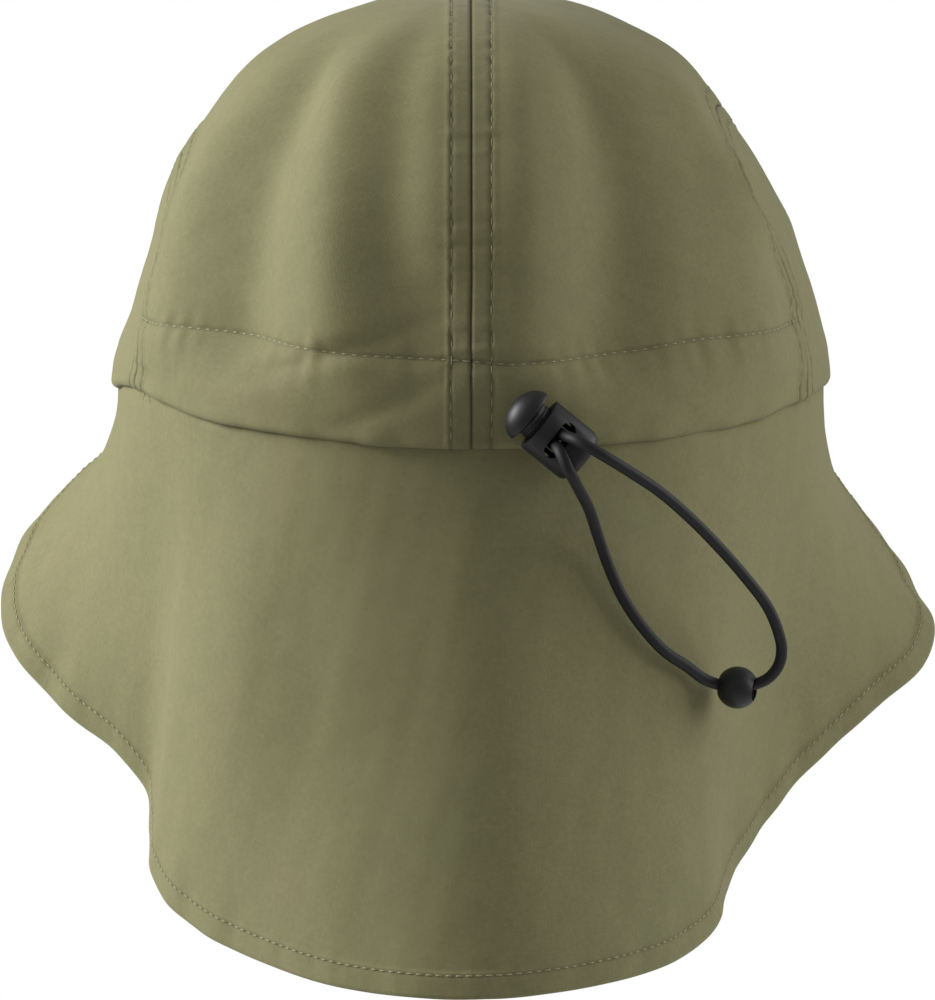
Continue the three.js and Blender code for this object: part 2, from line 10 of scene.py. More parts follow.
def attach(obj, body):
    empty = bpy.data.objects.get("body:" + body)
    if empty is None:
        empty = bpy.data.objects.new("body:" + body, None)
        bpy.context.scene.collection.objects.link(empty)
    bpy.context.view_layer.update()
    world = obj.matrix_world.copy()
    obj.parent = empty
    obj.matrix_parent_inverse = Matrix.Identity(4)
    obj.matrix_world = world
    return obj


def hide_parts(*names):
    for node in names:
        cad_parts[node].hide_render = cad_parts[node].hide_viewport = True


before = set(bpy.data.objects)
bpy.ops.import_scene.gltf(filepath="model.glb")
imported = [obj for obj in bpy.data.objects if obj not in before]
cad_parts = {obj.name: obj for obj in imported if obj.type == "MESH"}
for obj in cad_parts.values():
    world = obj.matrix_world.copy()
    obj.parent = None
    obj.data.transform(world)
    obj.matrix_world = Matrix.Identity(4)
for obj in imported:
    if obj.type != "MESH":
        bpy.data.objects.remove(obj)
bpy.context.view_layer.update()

# Camera: a long lens behind the wearer and a little above the rim, as the photograph was taken.
# Its picture is 935 by 1000, so the height of the frame sets the lens.
view_distance = 1.4
view_up = math.radians(8.5)
view_aim = Vector((0.00084, 0.0, -0.0267))
camera_data = bpy.data.cameras.new("camera")
camera_data.lens = 210
camera_data.sensor_fit = "VERTICAL"
camera_data.sensor_height = 36
camera = bpy.data.objects.new("camera", camera_data)
camera.location = view_aim + view_distance * Vector((0, math.cos(view_up), math.sin(view_up)))
camera.rotation_euler = (math.radians(90) - view_up, 0, math.radians(180))
bpy.context.collection.objects.link(camera)
bpy.context.scene.camera = camera


# Crown cloth: plain-woven nylon in khaki olive, matt, with a slight mottle of green and brown.
# Thread shows as a fine grain; the real 0.25 mm thread spacing is drawn at 0.55 mm so that it shows.
def linear(code):
    """sRGB hex colour, as a linear colour with alpha"""
    shares = [int(code[i:i + 2], 16) / 255 for i in (1, 3, 5)]
    return [s / 12.92 if s <= 0.04045 else ((s + 0.055) / 1.055) ** 2.4 for s in shares] + [1]


def add_node(tree, kind, inputs=None, **settings):
    """A shader node with its settings; inputs are values, or sockets to link from"""
    node = tree.nodes.new("ShaderNode" + kind)
    for name, value in settings.items():
        setattr(node, name, value)
    for name, value in (inputs or {}).items():
        if isinstance(value, bpy.types.NodeSocket):
            tree.links.new(value, node.inputs[name])
        else:
            node.inputs[name].default_value = value
    return node


def new_material(name):
    material = bpy.data.materials.new(name)
    material.use_nodes = True
    return material, material.node_tree, material.node_tree.nodes["Principled BSDF"]


cloth_weave = 0.55
cloth, tree, surface = new_material("nylon_plain_weave_olive")
cloth_map = add_node(tree, "UVMap", uv_map="cloth").outputs["UV"]
place = add_node(tree, "TexCoord").outputs["Object"]
axes = add_node(tree, "SeparateXYZ", {"Vector": cloth_map})
threads = []
for axis in ("X", "Y"):
    pace = 2 * math.pi / cloth_weave
    turns = add_node(tree, "Math", {0: axes.outputs[axis], 1: pace}, operation="MULTIPLY")
    threads.append(add_node(tree, "Math", {0: turns.outputs[0]}, operation="SINE").outputs[0])
weave = add_node(tree, "Math", {0: threads[0], 1: threads[1]}, operation="MULTIPLY").outputs[0]
slubs = []
for stretch in ((0.35, 2.6, 1), (2.6, 0.35, 1)):
    along = add_node(tree, "Mapping", {"Vector": cloth_map, "Scale": stretch}).outputs[0]
    slubs.append(add_node(tree, "TexNoise", {"Vector": along, "Scale": 1.0, "Detail": 2.0}).outputs["Fac"])
slub = add_node(tree, "Math", {0: slubs[0], 1: slubs[1]}, operation="ADD").outputs[0]
relief = add_node(tree, "Math", {0: weave, 1: 0.35, 2: slub}, operation="MULTIPLY_ADD").outputs[0]
fine = add_node(tree, "TexNoise", {"Vector": place, "Scale": 900.0, "Detail": 3.0}).outputs["Fac"]
middle = add_node(tree, "TexNoise", {"Vector": place, "Scale": 190.0, "Detail": 4.0}).outputs["Fac"]
broad = add_node(tree, "TexNoise", {"Vector": place, "Scale": 34.0, "Detail": 3.0}).outputs["Fac"]
hue = add_node(tree, "ValToRGB", {"Fac": broad})
hue.color_ramp.elements[0].position = 0.34
hue.color_ramp.elements[0].color = linear("#8B885E")
hue.color_ramp.elements[1].position = 0.66
hue.color_ramp.elements[1].color = linear("#8E895F")
mottle = add_node(tree, "MapRange", {
    "Value": middle, "From Min": 0.25, "From Max": 0.75, "To Min": 0.96, "To Max": 1.04,
})
grain = add_node(tree, "MapRange", {
    "Value": fine, "From Min": 0.2, "From Max": 0.8, "To Min": 0.92, "To Max": 1.08,
})
crossing = add_node(tree, "MapRange", {
    "Value": relief, "From Min": 0.4, "From Max": 1.6, "To Min": 0.9, "To Max": 1.1,
})
shade = add_node(tree, "Math", {0: mottle.outputs[0], 1: grain.outputs[0]}, operation="MULTIPLY").outputs[0]
shade = add_node(tree, "Math", {0: shade, 1: crossing.outputs[0]}, operation="MULTIPLY").outputs[0]
# Painted shade: a per-point attribute darkens the cloth in seam nicks, stitch grooves, seam strips, the
# casing groove, the hem and peak rows, and along the crown's rim edge
painted_shade = add_node(tree, "Attribute", attribute_name="painted_shade").outputs["Fac"]
shade = add_node(tree, "Math", {0: shade, 1: painted_shade}, operation="MULTIPLY").outputs[0]
dyed = add_node(tree, "VectorMath", {0: hue.outputs[0]}, operation="SCALE")
tree.links.new(shade, dyed.inputs["Scale"])
tree.links.new(dyed.outputs[0], surface.inputs["Base Color"])
bump = add_node(tree, "Bump", {"Height": relief, "Strength": 0.35, "Distance": 0.0001})
tree.links.new(bump.outputs[0], surface.inputs["Normal"])
surface.inputs["Roughness"].default_value = 0.82
surface.inputs["Sheen Weight"].default_value = 0.08
surface.inputs["Sheen Roughness"].default_value = 0.5


# Crown: its soft dome, which the five panels are cut from. Sizes are in millimetres, and a turn is
# in degrees about +Z from centre back, positive towards the wearer's left.
crown_half_width = 85.7
crown_half_length = 104.0
crown_height = 95.0
crown_sections = np.array([
    (0.0, 1.0, 1.0, 1.0),
    (0.03, 1.0, 1.0, 1.0),
    (0.14, 0.985, 0.988, 0.995),
    (0.33, 0.925, 0.94, 0.965),
    (0.54, 0.838, 0.865, 0.88),
    (0.7, 0.725, 0.755, 0.75),
    (0.83, 0.61, 0.63, 0.6),
    (0.91, 0.468, 0.495, 0.45),
    (0.965, 0.308, 0.34, 0.3),
    (0.99, 0.185, 0.18, 0.165),
    (1.0, 0.0, 0.0, 0.0),
])
# Each fold: turn, spread, low and high as shares of the height, lean, depth in mm
crown_folds = [
    (7, 6, 0.35, 0.95, 4, 1.0),
    (15, 6, 0.38, 0.93, 6, -1.2),
    (9, 7, 0.2, 0.4, 0, -1.2),
    (12, 4, 0.06, 0.14, -9, -1.3),
    (21.5, 5, 0.17, 0.26, -15, -1.5),
    (26, 7.5, 0.18, 0.95, 11, 3.2),
    (44, 8.5, 0.17, 0.88, 9, -5.4),
    (61, 8, 0.15, 0.75, 6, 2.8),
    (-9, 7, 0.16, 0.97, -5, 2.6),
    (-28, 9, 0.15, 0.95, -11, -5.4),
    (-54, 9, 0.14, 0.82, -8, 3.6),
    (90, 20, 0.12, 0.45, 0, -1.7),
    (-82, 18, 0.5, 0.95, 0, -2.6),
]


def eased(x):
    x = np.clip(x, 0, 1)
    return x * x * (3 - 2 * x)


def crown_rows(rise):
    """Catmull-Rom through the crown's sections, from 0 at the rim to 1 at the top"""
    last = len(crown_sections) - 1
    mirrored = crown_sections[-2] * (1, -1, -1, -1)
    rows = np.vstack([crown_sections[:1], crown_sections, mirrored])
    at = np.clip(rise, 0, 1) * last
    i = np.minimum(at.astype(int), last - 1)
    w = (at - i)[..., None]
    a, b, c, d = (rows[i + k] for k in range(4))
    return b + 0.5 * w * (c - a + w * (2 * a - 5 * b + 4 * c - d + w * (3 * (b - c) + d - a)))


def oval_out(turn):
    """Outward direction of the head oval at a turn"""
    a = np.radians(turn)
    out = np.stack([np.sin(a) / crown_half_width, np.cos(a) / crown_half_length, 0 * a], -1)
    return out / np.linalg.norm(out, axis=-1, keepdims=True)


def crown_dome(turn, rise):
    """Point of the crown before its seams are pressed in"""
    rows = crown_rows(rise)
    up, across = rows[..., 0], rows[..., 1]
    a = np.radians(turn)
    along = np.where(np.cos(a) >= 0, rows[..., 2], rows[..., 3])
    points = np.stack([
        crown_half_width * across * np.sin(a),
        crown_half_length * along * np.cos(a),
        crown_height * up,
    ], -1)
    out = 0 * up
    for middle, spread, low, high, lean, depth in crown_folds:
        aside = (turn - middle - lean * (up - (low + high) / 2) / (high - low)) / spread
        window = eased((up - low) / 0.18 + 0.5) * eased((high - up) / 0.18 + 0.5)
        out = out + depth * np.exp(-aside ** 2) * window
    return points + oval_out(turn) * (out * np.clip(across / 0.4, 0, 1))[..., None]


# The dome is laid out on a disc whose middle is the top and whose radius is the way down in mm
way_rises = np.linspace(1, 0, 400)
way_rows = crown_rows(way_rises)
way_steps = np.hypot(np.diff(way_rows[:, 1]) * crown_half_width, np.diff(way_rows[:, 0]) * crown_height)
way_down = np.concatenate([[0], np.cumsum(way_steps)])
disc_radius = way_down[-1]


def disc_place(turn, up):
    a = np.radians(turn)
    r = np.interp(-np.asarray(up, float), -way_rows[:, 0], way_down)
    return np.stack([r * np.sin(a), r * np.cos(a)], -1)


def on_dome(disc):
    turn = np.degrees(np.arctan2(disc[..., 0], disc[..., 1]))
    rise = np.interp(np.hypot(disc[..., 0], disc[..., 1]), way_down, way_rises)
    return crown_dome(turn, rise)


def dome_slopes(disc):
    """How the dome runs along the disc's two axes"""
    step = 0.15
    slopes = []
    for shift in ((step, 0), (0, step)):
        slopes.append((on_dome(disc + shift) - on_dome(disc - np.array(shift))) / (2 * step))
    return slopes


def beside(line, distance):
    """A line on the disc that keeps a distance in real mm from another, to its left"""
    along = np.gradient(line, axis=0)
    across, down = dome_slopes(line)
    g = np.array([[(across * across).sum(1), (across * down).sum(1)],
                  [(across * down).sum(1), (down * down).sum(1)]])
    gx = g[0, 0] * along[:, 0] + g[0, 1] * along[:, 1]
    gy = g[1, 0] * along[:, 0] + g[1, 1] * along[:, 1]
    away = np.stack([-gy, gx], -1)
    size = g[0, 0] * away[:, 0] ** 2 + 2 * g[0, 1] * away[:, 0] * away[:, 1] + g[1, 1] * away[:, 1] ** 2
    return line + away * (distance / np.sqrt(size))[:, None]


def near_line(points, line):
    """How far each point is from a line, and how far along the line that is"""
    steps = np.diff(line, axis=0)
    squares = (steps ** 2).sum(1)
    starts = np.concatenate([[0], np.cumsum(np.sqrt(squares))])
    gap = np.empty(len(points))
    along = np.empty(len(points))
    for part in np.array_split(np.arange(len(points)), len(points) // 2000 + 1):
        off = points[part, None, :] - line[None, :-1, :]
        share = np.clip((off * steps).sum(2) / squares, 0, 1)
        square = ((off - share[..., None] * steps) ** 2).sum(2)
        i = square.argmin(1)
        row = np.arange(len(part))
        gap[part] = np.sqrt(square[row, i])
        along[part] = starts[i] + share[row, i] * np.sqrt(squares[i])
    return gap, along


def even_line(line, step):
    """The same line with points an even step apart"""
    ways = np.concatenate([[0], np.cumsum(np.linalg.norm(np.diff(line, axis=0), axis=1))])
    at = np.linspace(0, ways[-1], max(int(round(ways[-1] / step)), 1) + 1)
    return np.stack([np.interp(at, ways, line[:, k]) for k in range(line.shape[1])], -1)


def ripple(at, length, seed):
    """Smooth chance wave along a line, from about -1 to 1"""
    chance = np.random.default_rng(seed)
    wave = 0 * at
    for _ in range(6):
        wave = wave + np.sin(at * 2 * np.pi / (length * chance.uniform(0.6, 1.7)) + chance.uniform(0, 6.28))
    return wave / 3


def crumple(points, length, seed):
    """Smooth chance waves through space, from about -1 to 1"""
    chance = np.random.default_rng(seed)
    wave = np.zeros(points.shape[:-1])
    for _ in range(12):
        way = chance.normal(size=3)
        way = way / np.linalg.norm(way) * 2 * np.pi / (length * chance.uniform(0.7, 1.5))
        wave = wave + np.sin(points @ way + chance.uniform(0, 6.28))
    return wave / 4


# Crown seams: each is sewn, pressed open and topstitched 4.5 mm to both sides, with its turnings
# beneath. The casing for the elastic is one more row round the back, about 20 mm above the rim.
front_seam_base = 52.0
front_seam_top = 26.0
stitch_aside = 4.5
turning_width = 5.6
seam_step = 0.8
# Relief of a seam in mm: its raised strip, the nick where the panels meet, the stitch groove, puckers
seam_rise = 0.3
seam_nick = 0.55
nick_half_width = 0.35
stitch_sink = 0.3
stitch_half_width = 0.45
pucker_rise = 0.2
casing_sink = 0.32
hem_rounding = 2
lift_reach = 9
# Painted shade darkening the cloth in a nick and a stitch groove, and over the strip of the back seam and
# others
nick_shade = 0.3
stitch_shade = 0.28
back_strip_shade = 0.16
strip_shade = 0.05
back_seam_seed = 11
# Each side panel's seam from the rim behind the ear, over its round top, to below the front seam
side_seam_rows = {
    "left": np.array([
        (65.5, -0.1), (65, 0.02), (64.5, 0.12), (65, 0.2), (67, 0.28), (67.5, 0.35), (68, 0.42), (71, 0.5),
        (77, 0.57), (87, 0.615), (100, 0.62), (114, 0.57), (127, 0.42), (134, 0.2), (136, -0.1),
    ]),
    "right": np.array([
        (64.5, -0.1), (64.5, 0.03), (65.5, 0.12), (66, 0.2), (67.5, 0.28), (67, 0.35), (64.5, 0.42),
        (61, 0.49), (59.5, 0.555), (62, 0.605), (67, 0.655), (75, 0.7), (86, 0.72), (100, 0.695),
        (116, 0.61), (128, 0.42), (134, 0.2), (136, -0.1),
    ]),
}
# Height of the casing row above the rim in mm, at turns from right to left
casing_row = np.array([
    (-68, 21.6), (-60, 21.6), (-45, 21.8), (-37, 21.6), (-25, 19.8), (-8, 19.0), (0, 19.6),
    (20, 20.6), (45, 22.4), (60, 22.2), (68, 22.0),
])
row_ends = 67.5
# How far the rim stands up from its plane, in mm, at turns from right to left
rim_lift = np.array([
    (-125, 0), (-100, 1.5), (-80, 3.3), (-62, 3.0), (-48, 1.1), (-38, 0.5), (-28, 0), (11, 0),
    (19, 0.7), (27, 1.2), (37, 1.8), (48, 2.5), (57, 4.4), (66, 5.4), (75, 4.2), (85, 1.6), (110, 0),
])


def smooth_line(rows, count):
    """Catmull-Rom through rows, with count points to a span"""
    ends = np.vstack([2 * rows[0] - rows[1], rows, 2 * rows[-1] - rows[-2]])
    at = np.linspace(0, len(rows) - 1, (len(rows) - 1) * count + 1)
    i = np.minimum(at.astype(int), len(rows) - 2)
    w = (at - i)[:, None]
    a, b, c, d = (ends[i + k] for k in range(4))
    return b + 0.5 * w * (c - a + w * (2 * a - 5 * b + 4 * c - d + w * (3 * (b - c) + d - a)))


def front_seam_share(point):
    """Above 0 in front of the tilted front seam"""
    lean = (front_seam_base - front_seam_top) / crown_height
    return -(point[..., 1] + front_seam_base - lean * point[..., 2])


# Front seam on the left half, from the middle line down to the rim
front_rises = np.linspace(1, 0, 3000)
front_rows = crown_rows(front_rises)
set_back = front_seam_base - (front_seam_base - front_seam_top) * front_rows[:, 0]
reaches = crown_half_length * front_rows[:, 3]
crossed = reaches > set_back
front_turns = 180 - np.degrees(np.arccos((set_back / np.maximum(reaches, 1))[crossed]))
front_line = disc_place(front_turns, front_rows[crossed, 0])
front_line[0] = (0, -np.hypot(*front_line[0]))
front_line = even_line(front_line, seam_step)

other_side = np.array([-1, 1])
flips = {"left": np.array([1, 1]), "right": other_side}
side_lines = {}
front_uppers = {}
front_lowers = {}
for side, rows in side_seam_rows.items():
    rows = smooth_line(rows, 30)
    rows = rows[rows[:, 1] > -0.004]
    line = even_line(disc_place(rows[:, 0], np.maximum(rows[:, 1], 0)) * flips[side], seam_step)
    line = line[:np.argmax(front_seam_share(on_dome(line)) > 0)]
    meeting = np.hypot(*line[-1])
    radii = np.hypot(front_line[:, 0], front_line[:, 1])
    side_lines[side] = line
    front_uppers[side] = front_line[radii < meeting - 0.5] * flips[side]
    front_lowers[side] = front_line[radii > meeting + 0.5] * flips[side]
centre_line = even_line(np.array([[0, disc_radius], [0, 0], front_line[0]]), seam_step)


def rim_between(start, end):
    turns = np.radians(np.linspace(start, end, max(int(abs(end - start) / 0.35), 2)))
    return disc_radius * np.stack([np.sin(turns), np.cos(turns)], -1)


side_starts = {side: np.degrees(np.arctan2(*line[0])) for side, line in side_lines.items()}
front_start = np.degrees(np.arctan2(front_line[-1, 0], front_line[-1, 1]))
row_turns = smooth_line(casing_row, 30)
row_line = even_line(disc_place(row_turns[:, 0], row_turns[:, 1] / crown_height), seam_step)
front_whole = np.vstack([front_line[::-1], (front_line * other_side)[1:]])

# Each seam as a line in space, with the seed of its puckers
seam_lines = [
    (on_dome(centre_line), back_seam_seed),
    (on_dome(side_lines["left"]), 12),
    (on_dome(side_lines["right"]), 13),
    (on_dome(front_whole), 14),
]
row_space = on_dome(row_line)


smooth_lift = smooth_line(rim_lift, 12)
# Where a back panel puffs out over its side seam: low and high as shares of the height, and mm
overhangs = {"left": (0.3, 0.56, 0.7), "right": (0.42, 0.64, 2.0)}


def crown_skin(disc, over=None):
    """The crown's outer face with its seams: points, outward directions, and the painted shade of its nicks,
    grooves and rim. With over, a side, it is the face of that side's back panel, which puffs out over the
    side seam"""
    points = on_dome(disc)
    across, down = dome_slopes(disc)
    out = np.cross(across, down)
    out /= np.linalg.norm(out, axis=1, keepdims=True)
    turn = np.degrees(np.arctan2(disc[:, 0], disc[:, 1]))
    height = 0.16 * crumple(points, 22, 5) + 0.05 * crumple(points, 7, 6)
    painted_shade = np.ones(len(points))
    for line, seed in seam_lines:
        gap, along = near_line(points, line)
        tight = 1 + 0.6 * ripple(along, 9, seed)
        strip = 1 - eased((gap - turning_width + 0.6) / 1.2)
        height += seam_rise * strip
        height -= seam_nick * np.exp(-(gap / nick_half_width) ** 2)
        groove = np.exp(-((gap - stitch_aside) / stitch_half_width) ** 2)
        height -= stitch_sink * tight * groove
        pucker = ripple(along, 4.2, seed + 20) * np.clip(ripple(along, 26, seed + 40) + 0.55, 0, 1.3)
        height += pucker_rise * pucker * np.exp(-((gap - 3.0) / 3.2) ** 2)
        # Painted shade in the nick and the stitch grooves, and over the seam's strip, darker on the back seam
        painted_shade *= 1 - nick_shade * np.exp(-(gap / nick_half_width) ** 2) - stitch_shade * groove
        shade = back_strip_shade if seed == back_seam_seed else strip_shade
        painted_shade *= 1 - shade * (1 - eased((gap - stitch_aside) / 0.8))
    if over:
        low, high, puff = overhangs[over]
        up = points[:, 2] / crown_height
        gap, _ = near_line(points, on_dome(side_lines[over]))
        window = eased((up - low) / 0.12 + 0.5) * eased((high - up) / 0.12 + 0.5)
        height += puff * window * (1 - np.exp(-(gap / 1.8) ** 2)) * np.exp(-(gap / 11) ** 2)
    gap, along = near_line(points, row_space)
    below = points[:, 2] < np.interp(turn, casing_row[:, 0], casing_row[:, 1])
    reach = eased((row_ends - np.abs(turn)) / 3)
    groove = np.exp(-(gap / 0.5) ** 2) * reach
    height -= casing_sink * groove * (1 + 0.5 * ripple(along, 8, 31))
    height += reach * np.where(below, 0.75, 0.35) * (1 - np.exp(-(gap / 2.2) ** 2)) * np.exp(-(gap / 16) ** 2)
    gather = ripple(along, 6.5, 32) * np.clip(ripple(along, 40, 33) + 0.5, 0, 1.2)
    height += 0.22 * reach * gather * np.exp(-(gap / np.where(below, 7.0, 3.5)) ** 2) * (1 - groove)
    # Painted shade in the casing row's groove
    painted_shade *= 1 - 0.25 * groove
    hem = np.clip(points[:, 2], 0, hem_rounding)
    height -= 1.5 * (1 - np.sqrt(np.clip(1 - (1 - hem / hem_rounding) ** 2, 0, 1)))
    height += 0.25 * ripple(disc[:, 0] * 0.7, 17, 34) * np.exp(-(points[:, 2] / 5) ** 2)
    # Painted shade along the crown's turned-under rim edge
    painted_shade *= 1 - 0.2 * np.exp(-points[:, 2] / 0.6)
    skin = points + out * height[:, None]
    lift = np.interp(turn, smooth_lift[:, 0], smooth_lift[:, 1])
    skin[:, 2] += lift * np.exp(-(points[:, 2] / lift_reach) ** 2)
    return skin, out, painted_shade


def inside(points, outline):
    """Which points are inside a closed outline"""
    a = outline
    b = np.roll(outline, -1, axis=0)
    result = np.zeros(len(points), bool)
    for part in np.array_split(np.arange(len(points)), len(points) // 4000 + 1):
        x, y = points[part, 0][:, None], points[part, 1][:, None]
        level = (a[:, 1] > y) != (b[:, 1] > y)
        rise = np.where(np.abs(b[:, 1] - a[:, 1]) < 1e-12, 1e-12, b[:, 1] - a[:, 1])
        cross = x < (b[:, 0] - a[:, 0]) * (y - a[:, 1]) / rise + a[:, 0]
        result[part] = (level & cross).sum(1) % 2 == 1
    return result


def alone(piece):
    """Only this piece selected and active"""
    bpy.ops.object.select_all(action="DESELECT")
    piece.select_set(True)
    bpy.context.view_layer.objects.active = piece


def mesh_piece(name, points, faces, material, uv=None, painted_shade=None, wall=None):
    """A mesh in place, from points in mm; uv and the painted shade are one row a point"""
    mesh = bpy.data.meshes.new(name)
    mesh.from_pydata((np.asarray(points) / 1000).tolist(), [], faces)
    mesh.materials.append(material)
    if uv is not None:
        corners = np.empty(len(mesh.loops), int)
        mesh.loops.foreach_get("vertex_index", corners)
        mesh.uv_layers.new(name="cloth").data.foreach_set("uv", np.asarray(uv)[corners].ravel())
        # The painted shade, one value a point, which darkens the cloth
        shade = mesh.attributes.new("painted_shade", "FLOAT", "POINT")
        shade.data.foreach_set("value", np.ones(len(points)) if painted_shade is None else painted_shade)
    mesh.shade_smooth()
    piece = bpy.data.objects.new(name, mesh)
    bpy.context.collection.objects.link(piece)
    if wall:
        shell = piece.modifiers.new("wall", "SOLIDIFY")
        shell.thickness = wall / 1000
        shell.offset = -1
        alone(piece)
        bpy.ops.object.modifier_apply(modifier="wall")
    return piece


eyelet_turn = -12.33
eyelet_height = 3.7
eyelet_half_length = 3.15
eyelet_half_width = 1.75
eyelet_middle = disc_place(eyelet_turn, eyelet_height / crown_height)
eyelet_turns = np.radians(np.arange(0, 360, 15))
eyelet_disc = eyelet_middle + np.stack([
    1.47 * eyelet_half_length * np.cos(eyelet_turns),
    eyelet_half_width * np.sin(eyelet_turns),
], -1)

crown_wall = 1.0
plain_step = 1.5
rim_rows = (0.12, 0.3, 0.55, 0.85, 1.3, 2.0, 3.0)
band_rows = (0.3, 0.65, 1.05, 1.6, 2.3, 3.1, 3.7, 4.15, 4.5, 4.85, 5.25, 5.8, 6.5)


def panel_net(outline, rows, is_plain, hole=None):
    """Points and triangles of a flat panel: fine rows, and an even net where it is plain"""
    low, high = outline.min(0), outline.max(0)
    columns = np.arange(low[0], high[0], plain_step)
    net_rows = np.arange(low[1], high[1], plain_step * 0.866)
    net = np.array([(x + (j % 2) * plain_step / 2, y) for j, y in enumerate(net_rows) for x in columns])
    free = np.vstack([np.vstack(rows), net[is_plain(net)]])
    loops = [outline]
    free = free[inside(free, outline)]
    free = free[near_line(free, np.vstack([outline, outline[:1]]))[0] > 0.2]
    if hole is not None:
        loops.append(hole)
        free = free[~inside(free, hole)]
        free = free[near_line(free, np.vstack([hole, hole[:1]]))[0] > 0.15]
    edges = []
    start = 0
    for loop in loops:
        edges += [(start + i, start + (i + 1) % len(loop)) for i in range(len(loop))]
        start += len(loop)
    points = [Vector(p) for p in np.vstack(loops + [free]).tolist()]
    flat, _, faces, *_ = delaunay_2d_cdt(points, edges, [], 1, 1e-5)
    flat = np.array([tuple(p) for p in flat])
    faces = np.array([tuple(f) for f in faces])
    if hole is not None:
        faces = faces[~inside(flat[faces].mean(1), hole)]
    return flat, faces


def crown_panel(name, outline, lines, grain, over=None, hole=None):
    rows = [beside(line, side * gap) for line, sides in lines for side in sides for gap in band_rows]
    on_rim = outline[np.hypot(outline[:, 0], outline[:, 1]) > disc_radius - 1e-6]
    rows += [on_rim * (disc_radius - height) / disc_radius for height in rim_rows]

    def is_plain(net):
        clear = np.hypot(net[:, 0], net[:, 1]) < disc_radius - 3.6
        for line, _ in lines:
            clear &= near_line(on_dome(net), on_dome(line))[0] > band_rows[-1] + 0.4
        return clear

    flat, faces = panel_net(outline, rows, is_plain, hole)
    space, _, painted_shade = crown_skin(flat, over)
    a = math.radians(grain)
    turned = flat @ np.array([[math.cos(a), -math.sin(a)], [math.sin(a), math.cos(a)]])
    return mesh_piece(name, space, faces.tolist(), cloth, turned, painted_shade, crown_wall)


front_outline = np.vstack([front_whole, rim_between(360 - front_start, front_start)[1:-1]])
for side, flip in flips.items():
    turned = int(flip[0])
    line = side_lines[side]
    back_rim = rim_between(side_starts[side], 0)[1:-1]
    side_rim = rim_between(turned * front_start, side_starts[side])[1:-1]
    row = row_line[row_line[:, 0] * turned > 0]
    back = crown_panel(
        f"back_panel_{side}",
        np.vstack([centre_line, front_uppers[side][1:], line[::-1], back_rim]),
        [(centre_line, (turned, )), (line, (-turned, )), (front_uppers[side], (turned, )), (row, (1, -1))],
        turned * 30,
        side,
        eyelet_disc if side == "right" else None,
    )
    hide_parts(f"crown_back_{side}")
    edge = crown_panel(
        f"side_panel_{side}",
        np.vstack([line, front_lowers[side], side_rim]),
        [(line, (turned, )), (front_lowers[side], (turned, ))],
        turned * 90,
    )
    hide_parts(f"crown_side_{side}")
    for piece in (back, edge):
        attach(piece, "cap")
front = crown_panel(
    "front_panel",
    front_outline,
    [(front_line, (-1, )), (front_line * other_side, (1, ))],
    180,
)
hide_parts("crown_front")
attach(front, "cap")

# Topstitching: spun polyester thread, a shade paler than the cloth, in a lockstitch that dips into
# the cloth at each needle hole. The seams have two rows each, and the casing has one.
seam_thread = 0.3
row_thread = 0.4
seam_pitch = 3.4
casing_pitch = 2.5
stitch_turns = np.radians(np.arange(0, 360, 72))
# Along a stitch: share of its half length, height above the cloth and width, as shares of the thread
stitch_rings = np.array([
    (-1.0, -0.8, 0.5), (-0.7, 0.1, 0.9), (0.0, 0.3, 1.0), (0.7, 0.1, 0.9), (1.0, -0.8, 0.5),
])
stitch_half_share = 0.39
spun, tree, surface = new_material("spun_polyester_thread")
ply = add_node(tree, "TexNoise", {"Vector": add_node(tree, "TexCoord").outputs["Object"], "Scale": 2600.0})
tint = add_node(tree, "ValToRGB", {"Fac": ply.outputs["Fac"]})
tint.color_ramp.elements[0].color = linear("#918D66")
tint.color_ramp.elements[1].color = linear("#BDB892")
tree.links.new(tint.outputs[0], surface.inputs["Base Color"])
surface.inputs["Roughness"].default_value = 0.6


def sew(name, runs, pitch, thread):
    """Stitches along runs of points on the cloth; each run has its points and their outward directions"""
    points = []
    faces = []
    sides = len(stitch_turns)
    rings = len(stitch_rings)
    for line, outs in runs:
        ways = np.concatenate([[0], np.cumsum(np.linalg.norm(np.diff(line, axis=0), axis=1))])
        count = int(ways[-1] / pitch)
        middles = (np.arange(count) + 0.5) * ways[-1] / count
        at = middles[:, None] + stitch_rings[:, 0] * pitch * stitch_half_share
        spot = np.stack([np.interp(at, ways, line[:, k]) for k in range(3)], -1)
        out = np.stack([np.interp(at, ways, outs[:, k]) for k in range(3)], -1)
        along = np.gradient(spot, axis=1)
        aside = np.cross(along, out)
        aside /= np.linalg.norm(aside, axis=-1, keepdims=True)
        spot = spot + out * (stitch_rings[:, 1] * thread)[:, None]
        width = (stitch_rings[:, 2] * thread / 2)[:, None, None]
        circle = np.cos(stitch_turns)[:, None] * aside[:, :, None]
        circle = circle + np.sin(stitch_turns)[:, None] * out[:, :, None]
        start = sum(len(p) for p in points)
        points.append((spot[:, :, None] + width * circle).reshape(-1, 3))
        for k in range(count):
            first = start + k * rings * sides
            faces.append([first + j for j in range(sides)])
            faces.append([first + (rings - 1) * sides + j for j in reversed(range(sides))])
            for r in range(rings - 1):
                for j in range(sides):
                    a, b = first + r * sides + j, first + r * sides + (j + 1) % sides
                    faces.append([a, a + sides, b + sides, b])
    piece = mesh_piece(name, np.vstack(points), faces, spun)
    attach(piece, "cap")
    return piece


def crown_run(disc, over=None):
    """A row on the crown for sew, evened out over a few points as a tight thread is"""
    space, out, _ = crown_skin(disc, over)
    rows = np.hstack([space, out])
    rows[2:-2] = sum(rows[i:len(rows) - 4 + i] for i in range(5)) / 5
    rows = rows[rows[:, 2] > 1.2]
    return rows[:, :3] - 0.05 * rows[:, 3:], rows[:, 3:]


